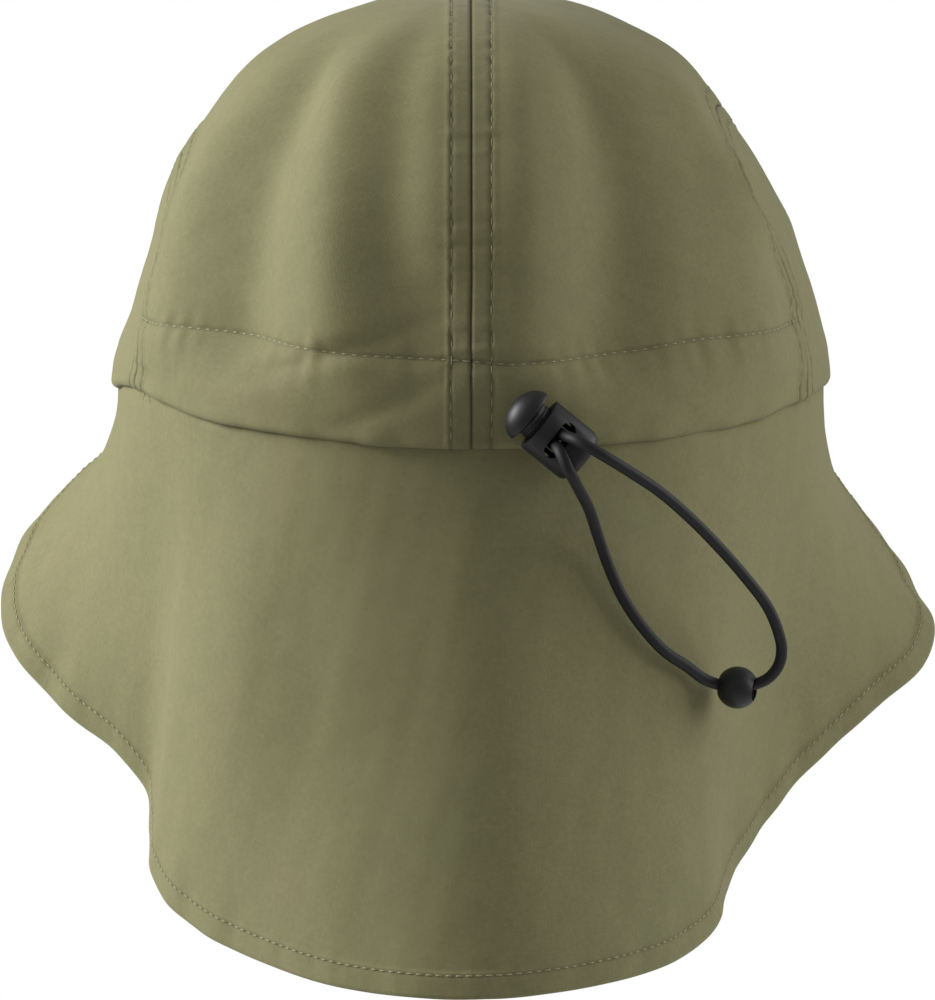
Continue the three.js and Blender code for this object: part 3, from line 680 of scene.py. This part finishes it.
def seam_run(line, distance, over=None):
    """The row beside a seam, without the loops where the seam bends more tightly than the row can"""
    row = beside(line, distance)
    clear = near_line(on_dome(row), on_dome(line))[0] > abs(distance) - 0.4
    return crown_run(row[clear], over)


for name, line in (("back_seam_stitches", centre_line), ("front_seam_stitches", front_whole)):
    sew(name, [seam_run(line, side * stitch_aside) for side in (-1, 1)], seam_pitch, seam_thread)
for side, line in side_lines.items():
    inner = stitch_aside * flips[side][0]
    runs = [seam_run(line, -inner, side), seam_run(line, inner)]
    sew(f"side_seam_stitches_{side}", runs, seam_pitch, seam_thread)
sew("casing_stitches", [crown_run(row_line)], casing_pitch, row_thread)


# Casing facing: a strip of the same cloth inside the back panels, sewn in by the casing row. It bows
# inwards to leave a tunnel for the elastic.
facing_end_turn = 60
facing_height = 20.0
facing_room = 3.5
facing_start = 1.5
facing_wall = 0.9
facing_sections = np.array([(0.0, 0.5), (0.16, 1.0), (0.42, 1.0), (0.72, 0.35), (0.9, 0.0), (1.05, 0.0)])
facing_turns = np.linspace(-facing_end_turn, facing_end_turn, 200)
facing_rows = smooth_line(facing_sections, 5)
facing_grid = []
facing_uv = []
for up, inset in facing_rows:
    disc = disc_place(facing_turns, np.full(len(facing_turns), max(up * facing_height / crown_height, 0.0)))
    across, down = dome_slopes(disc)
    out = np.cross(across, down)
    out /= np.linalg.norm(out, axis=1, keepdims=True)
    base = on_dome(disc)
    deep = facing_start + inset * facing_room + 0.12 * crumple(base, 14, 51)
    facing_grid.append(base - out * deep[:, None])
    facing_uv.append(disc)


def grid_faces(rows, columns):
    return [
        (r * columns + c, r * columns + c + 1, (r + 1) * columns + c + 1, (r + 1) * columns + c)
        for r in range(rows - 1) for c in range(columns - 1)
    ]


facing = mesh_piece(
    "casing_strip",
    np.vstack(facing_grid),
    [f[::-1] for f in grid_faces(len(facing_rows), len(facing_turns))],
    cloth,
    np.vstack(facing_uv),
    None,
    facing_wall,
)
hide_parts("casing_facing")
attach(facing, "cap")


# Neck flap: one flared piece of the same cloth, sewn under the crown's rim from temple to temple.
# Its edge is turned up in a hem about 6 mm wide, sewn with one row.
flap_drop = 114.0
flap_flare = 47.0
flap_inset = 1.5
flap_tuck = 1.2
flap_end_turn = 125
flap_wall = 0.8
hem_width = 5.9
hem_row = 5.2
hem_pitch = 2.2
# The hem from the right temple round the back to the left: turn, reach, drop, bend of the flare
flap_rows = np.array([
    (-126, 0.04, 0.05, 1.0), (-118, 0.11, 0.13, 1.3), (-109, 0.19, 0.22, 1.8), (-100, 0.32, 0.32, 2.0),
    (-92, 0.48, 0.425, 2.1), (-86, 0.57, 0.487, 2.1), (-80, 0.535, 0.55, 1.95), (-73, 0.365, 0.61, 1.55),
    (-66, 0.19, 0.68, 1.2), (-59, 0.08, 0.745, 1.0), (-52, 0.05, 0.805, 1.0), (-46, 0.075, 0.85, 1.0),
    (-39, 0.175, 0.9, 1.1), (-31, 0.415, 0.948, 1.15), (-23, 0.63, 0.977, 1.15), (-12, 0.86, 0.993, 1.15),
    (0, 1.0, 1.0, 1.15), (12, 0.85, 1.0, 1.15), (22, 0.66, 0.985, 1.15), (32, 0.52, 0.96, 1.15),
    (41, 0.41, 0.92, 1.15), (47, 0.31, 0.88, 1.1), (52, 0.17, 0.83, 1.05), (57, 0.11, 0.76, 1.0),
    (63, 0.165, 0.695, 1.05), (70, 0.295, 0.645, 1.25), (77, 0.44, 0.585, 1.5), (84, 0.58, 0.51, 1.6),
    (91, 0.61, 0.43, 1.6), (99, 0.52, 0.32, 1.6), (108, 0.31, 0.215, 1.45), (117, 0.13, 0.12, 1.2),
    (126, 0.04, 0.05, 1.0),
])
# Soft folds of the hanging cloth: turn, spread, depth in mm halfway down
flap_folds = [
    (101, 10, -1.6), (66, 12, -1.5), (33, 10, 3.4), (8, 10, -1.0), (-16, 9, -1.6), (-37, 7, 1.4),
    (-60, 10, -1.2), (-100, 9, -0.8),
]


def flap_row(turn):
    """Reach, drop and bend at a turn, on a smooth curve through the rows"""
    known, values = flap_rows[:, 0], flap_rows[:, 1:]
    slopes = np.diff(values, axis=0) / np.diff(known)[:, None]
    bends = np.vstack([slopes[:1], (slopes[1:] + slopes[:-1]) / 2, slopes[-1:]])
    i = np.clip(np.searchsorted(known, turn, side="right") - 1, 0, len(known) - 2)
    span = (known[i + 1] - known[i])[..., None]
    w = ((turn - known[i]) / span[..., 0])[..., None]
    before = 2 * w ** 3 - 3 * w ** 2 + 1
    return (before * values[i] + (1 - before) * values[i + 1] + (w ** 3 - 2 * w ** 2 + w) * span * bends[i]
            + (w ** 3 - w ** 2) * span * bends[i + 1])


def flap_place(turn, down):
    row = flap_row(turn)
    a = np.radians(turn)
    out = row[..., 0] * flap_flare * down ** row[..., 2]
    for middle, spread, depth in flap_folds:
        window = np.sin(np.pi * np.clip(down, 0, 1)) ** 2
        out = out + depth * np.exp(-((turn - middle) / spread) ** 2) * window
    points = np.stack([
        (crown_half_width - flap_inset) * np.sin(a),
        (crown_half_length - flap_inset) * np.cos(a),
        -row[..., 1] * flap_drop * down,
    ], -1)
    return points + oval_out(turn) * out[..., None]


hem_points = 4001
fine_turns = np.linspace(-flap_end_turn, flap_end_turn, hem_points)
hem_line = flap_place(fine_turns, np.ones(hem_points))
hem_ways = np.concatenate([[0], np.cumsum(np.linalg.norm(np.diff(hem_line, axis=0), axis=1))])
flap_columns = 440
flap_turns = np.interp(np.linspace(0, hem_ways[-1], flap_columns), hem_ways, fine_turns)
down_steps = 240
downs = np.linspace(0, 1, down_steps)
column_points = flap_place(np.tile(flap_turns, (down_steps, 1)), np.tile(downs[:, None], (1, flap_columns)))
column_ways = np.vstack([
    np.zeros(flap_columns),
    np.cumsum(np.linalg.norm(np.diff(column_points, axis=0), axis=2), axis=0),
])
from_hem = np.array([0, 0.2, 0.5, 1.0, 1.7, 2.5, 3.3, 4.0, 4.5, 4.85, 5.2, 5.55, 5.95, 6.4, 7.0, 8.0, 9.5])
upper_shares = np.linspace(0, 1, 64)[1:]
flap_grid = []
hem_gaps = []
for c in range(flap_columns):
    long = column_ways[-1, c]
    near = from_hem * min(1, long / 18)
    gaps = np.concatenate([near, near[-1] + (long - near[-1]) * upper_shares])
    down = np.interp(long - gaps, column_ways[:, c], downs)
    flap_grid.append(flap_place(np.full(len(down), flap_turns[c]), down))
    hem_gaps.append(gaps)
flap_grid = np.array(flap_grid).transpose(1, 0, 2)
hem_gaps = np.array(hem_gaps).T
flap_out = np.cross(np.gradient(flap_grid, axis=1), np.gradient(flap_grid, axis=0))
flap_out /= np.linalg.norm(flap_out, axis=2, keepdims=True)
flap_out *= np.sign((flap_out * oval_out(flap_turns)).sum(2).mean())
hem_along = np.linspace(0, hem_ways[-1], flap_columns)[None, :]
groove = np.exp(-((hem_gaps - hem_row) / 0.4) ** 2)
flap_height = 0.3 * crumple(flap_grid, 34, 61) + 0.07 * crumple(flap_grid, 9, 62)
flap_height += 0.4 * (1 - eased((hem_gaps - hem_width + 0.4) / 0.8))
flap_height -= 0.3 * (1 - eased(hem_gaps / 0.5))
flap_height -= 0.16 * groove * (1 + 0.4 * ripple(hem_along, 8, 63))
flap_height += 0.1 * ripple(hem_along, 5.5, 64) * np.exp(-((hem_gaps - 4.6) / 3.0) ** 2)
flap_height += 0.3 * ripple(hem_along, 24, 65) * np.exp(-(hem_gaps / 12) ** 2)
flap_skin = flap_grid + flap_out * flap_height[..., None]
tuck = flap_skin[-1:].copy()
tuck[..., 2] = flap_tuck + 1.3 * np.interp(flap_turns, smooth_lift[:, 0], smooth_lift[:, 1])
flap_skin = np.vstack([flap_skin, tuck])
# Painted shade in the groove of the hem row
flap_painted_shade = np.vstack([1 - 0.25 * groove, np.ones((1, flap_columns))])
flap_uv = np.stack([
    np.tile(hem_along * 0.8, (len(flap_skin), 1)),
    np.vstack([hem_gaps, hem_gaps[-1:] + flap_tuck]),
], -1)
flap = mesh_piece(
    "flap_cloth",
    flap_skin.reshape(-1, 3),
    [f[::-1] for f in grid_faces(len(flap_skin), flap_columns)],
    cloth,
    flap_uv.reshape(-1, 2),
    flap_painted_shade.ravel(),
    flap_wall,
)
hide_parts("neck_flap")
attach(flap, "cap")
row_at = int(np.argmin(np.abs(from_hem - hem_row)))
hem_sewing = sew("hem_stitches", [(flap_skin[row_at], flap_out[row_at])], hem_pitch, row_thread)


# Peak: a stiff board between two layers of the cloth, its edge turned in, and sewn through in rows
# that run beside the edge. It is seamed under the crown's rim.
peak_length = 68.0
peak_thick = 3.0
peak_pitch = 13.0
peak_side_drop = 26.0
peak_half_turn = 51.0
peak_under = 3.0
peak_rows = (4.0, 11.0, 18.0, 25.0, 32.0)
peak_edge_round = 1.5


def peak_plan(aside, reach):
    turn = 180 + aside * peak_half_turn
    a = np.radians(turn)
    oval = np.stack([crown_half_width * np.sin(a), crown_half_length * np.cos(a)], -1)
    return oval + oval_out(turn)[..., :2] * reach[..., None]


def peak_reach(aside):
    return peak_length * np.sqrt(1 - aside ** 2 * 0.96)


def peak_where(plan):
    """Side share and reach of places in the peak's plan"""
    aside = np.zeros(len(plan))
    for _ in range(30):
        turn = 180 + aside * peak_half_turn
        a = np.radians(turn)
        oval = np.stack([crown_half_width * np.sin(a), crown_half_length * np.cos(a)], -1)
        way = np.stack([crown_half_width * np.cos(a), -crown_half_length * np.sin(a)], -1)
        off = ((plan - oval) * way).sum(1) / (way ** 2).sum(1)
        aside = np.clip(aside + 0.6 * np.degrees(off) / peak_half_turn, -1.02, 1.02)
    reach = ((plan - oval) * oval_out(turn)[:, :2]).sum(1)
    return aside, reach


edge_asides = np.sin(np.linspace(-math.pi / 2, math.pi / 2, 300))
peak_edge = even_line(peak_plan(edge_asides, peak_reach(edge_asides)), 0.9)
peak_back = even_line(peak_plan(np.linspace(1, -1, 200), np.full(200, -peak_under)), 0.9)
peak_side = even_line(np.array([peak_edge[-1], peak_back[0]]), 0.9)
peak_other = even_line(np.array([peak_back[-1], peak_edge[0]]), 0.9)
peak_outline = np.vstack([peak_edge, peak_side[1:-1], peak_back, peak_other[1:-1]])


def plan_beside(line, distance):
    along = np.gradient(line, axis=0)
    away = np.stack([-along[:, 1], along[:, 0]], -1)
    return line + away * (distance / np.linalg.norm(away, axis=1))[:, None]


inward = 1 if inside(plan_beside(peak_edge, 10)[150:151], peak_outline)[0] else -1


def peak_skin(plan, top):
    aside, reach = peak_where(plan)
    past = np.maximum(reach, 0) / peak_length
    dip = peak_pitch * past + peak_side_drop * past * aside ** 2
    edge = near_line(plan, peak_edge)[0]
    full = np.sqrt(np.clip(1 - (1 - np.clip(edge / peak_edge_round, 0, 1)) ** 2, 0, 1))
    middle = -0.3 - dip - peak_thick / 2
    half = peak_thick / 2 * full
    space = np.stack([plan[:, 0], plan[:, 1], middle], -1)
    groove = sum(np.exp(-((edge - row) / 0.5) ** 2) for row in peak_rows)
    relief = (-0.22 * groove + 0.1 * crumple(space, 9, 71) * (1 - np.exp(-edge))) * full
    space[:, 2] += (half + relief) * (1 if top else -1)
    # The second value is painted shade in the grooves of the sewn rows
    return space, 1 - 0.22 * groove


fine = [0.08, 0.25, 0.5, 0.9, 1.4, 2.0, 2.8]
fine += [row + gap for row in peak_rows for gap in (-0.8, -0.4, 0, 0.4, 0.8)]
peak_lines = [plan_beside(peak_edge, inward * gap) for gap in fine]
peak_flat, peak_faces = panel_net(
    peak_outline,
    peak_lines,
    lambda net: np.min([np.abs(near_line(net, peak_edge)[0] - row) for row in (0, *peak_rows)], axis=0) > 1.3,
)
top_space, top_painted_shade = peak_skin(peak_flat, True)
low_space, low_painted_shade = peak_skin(peak_flat, False)
peak = mesh_piece(
    "peak_cloth",
    np.vstack([top_space, low_space]),
    peak_faces.tolist() + [f[::-1] for f in (peak_faces + len(peak_flat)).tolist()],
    cloth,
    np.vstack([peak_flat, peak_flat]),
    np.concatenate([top_painted_shade, low_painted_shade]),
)
mesh = bmesh.new()
mesh.from_mesh(peak.data)
bmesh.ops.remove_doubles(mesh, verts=mesh.verts, dist=2e-5)
bmesh.ops.bridge_loops(mesh, edges=[e for e in mesh.edges if e.is_boundary])
bmesh.ops.recalc_face_normals(mesh, faces=mesh.faces)
mesh.to_mesh(peak.data)
mesh.free()
alone(peak)
bpy.ops.object.shade_smooth_by_angle(angle=math.radians(50))
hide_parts("peak")
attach(peak, "cap")
peak_runs = []
for row in peak_rows:
    line = plan_beside(peak_edge, inward * row)
    line = line[inside(line, peak_outline)]
    line = line[peak_where(line)[1] > 0.5]
    if len(line) > 20:
        space, _ = peak_skin(line, True)
        peak_runs.append((space, np.tile((0.0, 0.0, 1.0), (len(line), 1))))
sew("peak_stitches", peak_runs, seam_pitch, row_thread)


# Cord lock barrel: black acetal, moulded with a satin face, its bore open towards the button and
# a slot through both faces for the two strands. It stands against the crown at the eyelet.
lock_back = Vector((-18.35, 103.25, 2.74))
lock_up = -Vector((-0.768, -0.05, -0.638)).normalized()
lock_facing = Vector((-0.121, 0.99, 0.068))
lock_width = 12.8
lock_depth = 10.8
lock_length = 13.0
lock_rim = 5.3
lock_bore = 8.6
lock_floor = 2.2
slot_length = 9.1
slot_width = 3.5
lock_face = (lock_facing - lock_facing.dot(lock_up) * lock_up).normalized()
lock_across = lock_up.cross(lock_face)
lock_stand = Matrix((lock_across, -lock_face, lock_up)).transposed().to_4x4()
lock_stand.translation = (lock_back + lock_face * lock_depth / 2) / 1000

acetal, tree, surface = new_material("moulded_acetal_black")
place = add_node(tree, "TexCoord").outputs["Object"]
spark = add_node(tree, "TexNoise", {"Vector": place, "Scale": 5200.0, "Detail": 2.0}).outputs["Fac"]
flow = add_node(tree, "TexNoise", {"Vector": place, "Scale": 260.0, "Detail": 3.0}).outputs["Fac"]
gloss = add_node(tree, "MapRange", {"Value": flow, "To Min": 0.4, "To Max": 0.55})
tree.links.new(gloss.outputs[0], surface.inputs["Roughness"])
grey = add_node(tree, "ValToRGB", {"Fac": flow})
grey.color_ramp.elements[0].color = linear("#1A1A1C")
grey.color_ramp.elements[1].color = linear("#242426")
tree.links.new(grey.outputs[0], surface.inputs["Base Color"])
pitted = add_node(tree, "Bump", {"Height": spark, "Strength": 0.25, "Distance": 0.00004})
tree.links.new(pitted.outputs[0], surface.inputs["Normal"])


def started(name):
    """The primitive that was just added, named, in millimetres that its mesh keeps"""
    piece = bpy.context.active_object
    piece.name = name
    piece.data.name = name
    alone(piece)
    bpy.ops.object.transform_apply(location=True, rotation=True, scale=True)
    return piece


def select_edges(piece, wanted):
    """Enter edit mode with the edges selected whose two ends are both wanted"""
    alone(piece)
    bpy.ops.object.mode_set(mode="EDIT")
    bpy.ops.mesh.select_mode(type="EDGE")
    bpy.ops.mesh.select_all(action="DESELECT")
    bpy.ops.object.mode_set(mode="OBJECT")
    for edge in piece.data.edges:
        edge.select = all(wanted(piece.data.vertices[v].co) for v in edge.vertices)
    bpy.ops.object.mode_set(mode="EDIT")


def cut(piece, cutter, how="DIFFERENCE"):
    joint = piece.modifiers.new("cut", "BOOLEAN")
    joint.operation = how
    joint.solver = "EXACT"
    joint.object = cutter
    alone(piece)
    bpy.ops.object.modifier_apply(modifier="cut")
    bpy.data.objects.remove(cutter)


def finished(piece, edge_round, material, stand):
    """Round the sharp edges, smooth the faces and put the piece in its place"""
    bevel = piece.modifiers.new("rounding", "BEVEL")
    bevel.width = edge_round
    bevel.segments = 2
    bevel.limit_method = "ANGLE"
    bevel.angle_limit = math.radians(40)
    alone(piece)
    bpy.ops.object.modifier_apply(modifier="rounding")
    bpy.ops.object.shade_smooth_by_angle(angle=math.radians(40))
    piece.data.transform(Matrix.Scale(0.001, 4))
    piece.data.transform(stand)
    piece.data.materials.clear()
    piece.data.materials.append(material)


lock_middle = (0, 0, lock_rim - lock_length / 2)
bpy.ops.mesh.primitive_cylinder_add(vertices=80, radius=1, depth=1, location=lock_middle)
bpy.context.active_object.scale = (lock_width / 2, lock_depth / 2, lock_length)
barrel = started("lock_body")
select_edges(barrel, lambda v: v.z < lock_rim - lock_length + 0.1)
bpy.ops.mesh.bevel(offset=2.6, offset_type="OFFSET", segments=8, profile=0.5, affect="EDGES")
bpy.ops.object.mode_set(mode="OBJECT")
bore_depth = lock_length - lock_floor
bpy.ops.mesh.primitive_cylinder_add(vertices=64, radius=lock_bore / 2, depth=bore_depth + 1)
bpy.context.active_object.location = (0, 0, lock_rim + 1 - (bore_depth + 1) / 2)
cut(barrel, started("bore"))
slot_turn = (math.radians(90), 0, 0)
bpy.ops.mesh.primitive_cylinder_add(vertices=40, radius=slot_width / 2, depth=30, rotation=slot_turn)
slot_cutter = started("slot")
for vertex in slot_cutter.data.vertices:
    vertex.co.x += (slot_length - slot_width) / 2 * (1 if vertex.co.x > -0.001 else -1)
cut(barrel, slot_cutter)
finished(barrel, 0.3, acetal, lock_stand)
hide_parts("lock_barrel")
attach(barrel, "cap")


# Lock button: the domed plunger of the same acetal, with two collar ridges on its stem and a window
# through which the strands pass. A spring under it holds the strands against the slot's edge.
button_travel = 2.2
button_height = 4.8
button_half_width = 6.3
button_under = lock_rim + button_travel + 0.5
stem_radius = 4.0
stem_end = -2.95
window_low = -1.65
window_high = 4.05
window_width = 6.1
stem_foot = (0, 0, stem_end)
bpy.ops.mesh.primitive_circle_add(vertices=64, radius=stem_radius, fill_type="NGON", location=stem_foot)
button = started("lock_plunger")
alone(button)
bpy.ops.object.mode_set(mode="EDIT")
bpy.ops.mesh.select_mode(type="FACE")
bpy.ops.mesh.select_all(action="SELECT")
height, radius = stem_end, stem_radius
for next_height, next_radius in (
    (5.9, 4.0), (6.05, 4.2), (6.5, 4.2), (6.65, 4.0), (7.0, 4.0), (7.15, 4.2), (7.6, 4.2), (7.75, 4.0),
    (button_under + 0.6, 4.0),
):
    bpy.ops.mesh.extrude_region_move(TRANSFORM_OT_translate={"value": (0, 0, next_height - height)})
    share = next_radius / radius
    bpy.ops.transform.resize(value=(share, share, 1), center_override=(0, 0, next_height))
    height, radius = next_height, next_radius
bpy.ops.mesh.select_all(action="SELECT")
bpy.ops.mesh.normals_make_consistent(inside=False)
bpy.ops.object.mode_set(mode="OBJECT")
bpy.ops.mesh.primitive_cube_add(size=1, location=(0, 0, (window_low + window_high) / 2))
bpy.context.active_object.scale = (window_width, 30, window_high - window_low)
cut(button, started("window"))
bpy.ops.mesh.primitive_uv_sphere_add(segments=72, ring_count=40, radius=1, location=(0, 0, button_under))
dome_depth = button_half_width * lock_depth / lock_width
bpy.context.active_object.scale = (button_half_width, dome_depth, button_height)
dome = started("dome")
alone(dome)
bpy.ops.object.mode_set(mode="EDIT")
bpy.ops.mesh.select_all(action="SELECT")
dome_base = (0, 0, button_under + 0.02)
bpy.ops.mesh.bisect(plane_co=dome_base, plane_no=(0, 0, 1), use_fill=True, clear_inner=True)
bpy.ops.object.mode_set(mode="OBJECT")
cut(button, dome, "UNION")
finished(button, 0.28, acetal, lock_stand)
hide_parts("lock_button")
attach(button, "button")


# End bead: a black acetal bead with a wide bore, through which the elastic's loop runs.
bead_half_width = 4.75
bead_length = 8.0
bead_bore = 4.7
bead_middle = Vector((-59.8, 94.4, -55.2))
bead_axis = Vector((-1, 0.3, -0.08)).normalized()
bpy.ops.mesh.primitive_uv_sphere_add(segments=64, ring_count=32, radius=bead_half_width)
bead = started("loop_bead")
for end in (-1, 1):
    bead_face = (0, 0, end * bead_length / 2)
    alone(bead)
    bpy.ops.object.mode_set(mode="EDIT")
    bpy.ops.mesh.select_all(action="SELECT")
    bpy.ops.mesh.bisect(plane_co=bead_face, plane_no=(0, 0, end), use_fill=True, clear_outer=True)
    bpy.ops.object.mode_set(mode="OBJECT")
bpy.ops.mesh.primitive_cylinder_add(vertices=48, radius=bead_bore / 2, depth=20)
cut(bead, started("bead_bore"))
bead_stand = bead_axis.to_track_quat("Z", "Y").to_matrix().to_4x4()
bead_stand.translation = bead_middle / 1000
finished(bead, 0.35, acetal, bead_stand)
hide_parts("end_bead")
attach(bead, "cap")


# Elastic: a round cord of rubber strands under a braided black polyester cover, one length that
# leaves the casing at the eyelet, runs through the lock and the bead, and goes back in beside itself.
cord_diameter = 2.6
cord_route = np.array([
    (-17.3, 98.9, 3.1), (-17.4, 101.2, 2.7), (-17.5, 103.6, 2.0), (-18.1, 108.8, 2.0), (-18.7, 113.6, 2.2),
    (-19.6, 117.4, 1.2), (-21.3, 118.9, -2.2), (-23.6, 116.0, -6.9), (-26.0, 110.4, -12.2),
    (-28.1, 106.8, -18.8), (-30.4, 105.8, -25.5), (-33.6, 105.6, -32.7), (-37.6, 104.8, -39.0),
    (-42.8, 102.6, -45.2), (-48.4, 98.8, -49.7), (-52.2, 96.2, -52.9), (-55.8, 94.6, -54.5),
    (-59.8, 94.3, -54.8), (-63.5, 94.5, -54.5), (-66.8, 94.9, -52.9), (-69.0, 95.3, -49.9),
    (-69.6, 96.0, -46.2), (-68.6, 97.5, -41.6), (-66.2, 99.2, -36.0), (-61.0, 102.0, -28.8),
    (-55.2, 105.2, -21.8), (-48.4, 109.2, -14.4), (-41.6, 113.2, -8.0), (-34.9, 117.0, -3.0),
    (-28.6, 119.4, 1.2), (-23.4, 118.2, 4.0), (-20.6, 113.8, 4.6), (-19.9, 108.4, 4.2),
    (-19.3, 103.4, 4.1), (-19.2, 101.2, 4.8), (-19.1, 98.9, 5.3),
])


def between(start, end, at, first, second):
    return (end - at) / (end - start) * first + (at - start) / (end - start) * second


def centripetal(rows, count):
    """Catmull-Rom curve whose spans are timed by the root of their length"""
    ends = np.vstack([2 * rows[0] - rows[1], rows, 2 * rows[-1] - rows[-2]])
    times = np.concatenate([[0], np.cumsum(np.linalg.norm(np.diff(ends, axis=0), axis=1) ** 0.5)])
    line = []
    for i in range(len(rows) - 1):
        p, t = ends[i:i + 4], times[i:i + 4]
        for at in np.linspace(t[1], t[2], count, endpoint=False):
            near = [between(t[k], t[k + 1], at, p[k], p[k + 1]) for k in range(3)]
            far = [between(t[k], t[k + 2], at, near[k], near[k + 1]) for k in range(2)]
            line.append(between(t[1], t[2], at, far[0], far[1]))
    return np.array(line + [rows[-1]])


cord_step = 0.35
cord_line = even_line(centripetal(cord_route, 24), cord_step)
cord_along = np.gradient(cord_line, axis=0)
cord_along /= np.linalg.norm(cord_along, axis=1, keepdims=True)
aside = Vector((0, 0, 1))
cord_sides = 20
braid_strands = 8
braid_pitch = 7.0
cord_points = []
cord_uv = []
for i, (centre, way) in enumerate(zip(cord_line, cord_along)):
    way = Vector(way)
    aside = (aside - aside.dot(way) * way).normalized()
    other = way.cross(aside)
    angles = np.linspace(0, 2 * np.pi, cord_sides, endpoint=False)
    along = i * cord_step
    twist = 2 * np.pi * along / braid_pitch
    braid = np.sin(braid_strands * (angles + twist) / 2) * np.sin(braid_strands * (angles - twist) / 2)
    radii = cord_diameter / 2 * (0.98 + 0.035 * braid)
    ring = np.cos(angles)[:, None] * np.array(aside) + np.sin(angles)[:, None] * np.array(other)
    cord_points.append(centre + ring * radii[:, None])
    cord_uv.append(np.stack([np.full(cord_sides, along), angles], -1))
rings = len(cord_points)
cord_faces = [
    (r * cord_sides + j, r * cord_sides + (j + 1) % cord_sides,
     (r + 1) * cord_sides + (j + 1) % cord_sides, (r + 1) * cord_sides + j)
    for r in range(rings - 1) for j in range(cord_sides)
]
cord_faces.append(tuple(reversed(range(cord_sides))))
cord_faces.append(tuple((rings - 1) * cord_sides + j for j in range(cord_sides)))

braided, tree, surface = new_material("braided_polyester_elastic_black")
place = add_node(tree, "TexCoord").outputs["Object"]
yarn = add_node(tree, "TexNoise", {"Vector": place, "Scale": 3200.0, "Detail": 3.0}).outputs["Fac"]
black = add_node(tree, "ValToRGB", {"Fac": yarn})
black.color_ramp.elements[0].color = linear("#101011")
black.color_ramp.elements[1].color = linear("#232325")
tree.links.new(black.outputs[0], surface.inputs["Base Color"])
fuzz = add_node(tree, "Bump", {"Height": yarn, "Strength": 0.4, "Distance": 0.00008})
tree.links.new(fuzz.outputs[0], surface.inputs["Normal"])
surface.inputs["Roughness"].default_value = 0.62
elastic = mesh_piece("elastic_braid", np.vstack(cord_points), cord_faces, braided, np.vstack(cord_uv))
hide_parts("elastic_cord")
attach(elastic, "cap")


# Floor and light: a round pale table well below the cap, a big soft key high on the left of the
# picture, a weaker fill from its right, and a plain white studio beyond.
bpy.context.scene.view_settings.view_transform = "Standard"
bpy.ops.mesh.primitive_circle_add(vertices=96, radius=0.62, fill_type="NGON", location=(0, 0, -0.42))
floor = bpy.context.active_object
floor.name = "floor"
pale, tree, surface = new_material("pale_painted_floor")
speck = add_node(tree, "TexNoise", {"Vector": add_node(tree, "TexCoord").outputs["Object"], "Scale": 40.0})
paint = add_node(tree, "ValToRGB", {"Fac": speck.outputs["Fac"]})
paint.color_ramp.elements[0].color = linear("#E9E9E8")
paint.color_ramp.elements[1].color = linear("#F2F2F1")
tree.links.new(paint.outputs[0], surface.inputs["Base Color"])
surface.inputs["Roughness"].default_value = 0.9
floor.data.materials.append(pale)

world = bpy.data.worlds.new("studio")
world.use_nodes = True
tree = world.node_tree
ray = add_node(tree, "LightPath").outputs["Is Camera Ray"]
seen_or_lit = add_node(tree, "MapRange", {"Value": ray, "To Min": 0.25, "To Max": 1.0})
tree.nodes["Background"].inputs["Color"].default_value = (1, 1, 1, 1)
tree.links.new(seen_or_lit.outputs[0], tree.nodes["Background"].inputs["Strength"])
bpy.context.scene.world = world

for name, place, size, power in (
    ("key", (1.2, -0.15, 0.54), 0.6, 19.5),
    ("fill", (-1.2, -0.1, 0.42), 1.1, 9),
):
    lamp = bpy.data.lights.new(name, "AREA")
    lamp.energy = power
    lamp.size = size
    light = bpy.data.objects.new(name, lamp)
    light.location = place
    light.rotation_euler = Vector(place).to_track_quat("Z", "Y").to_euler()
    bpy.context.collection.objects.link(light)
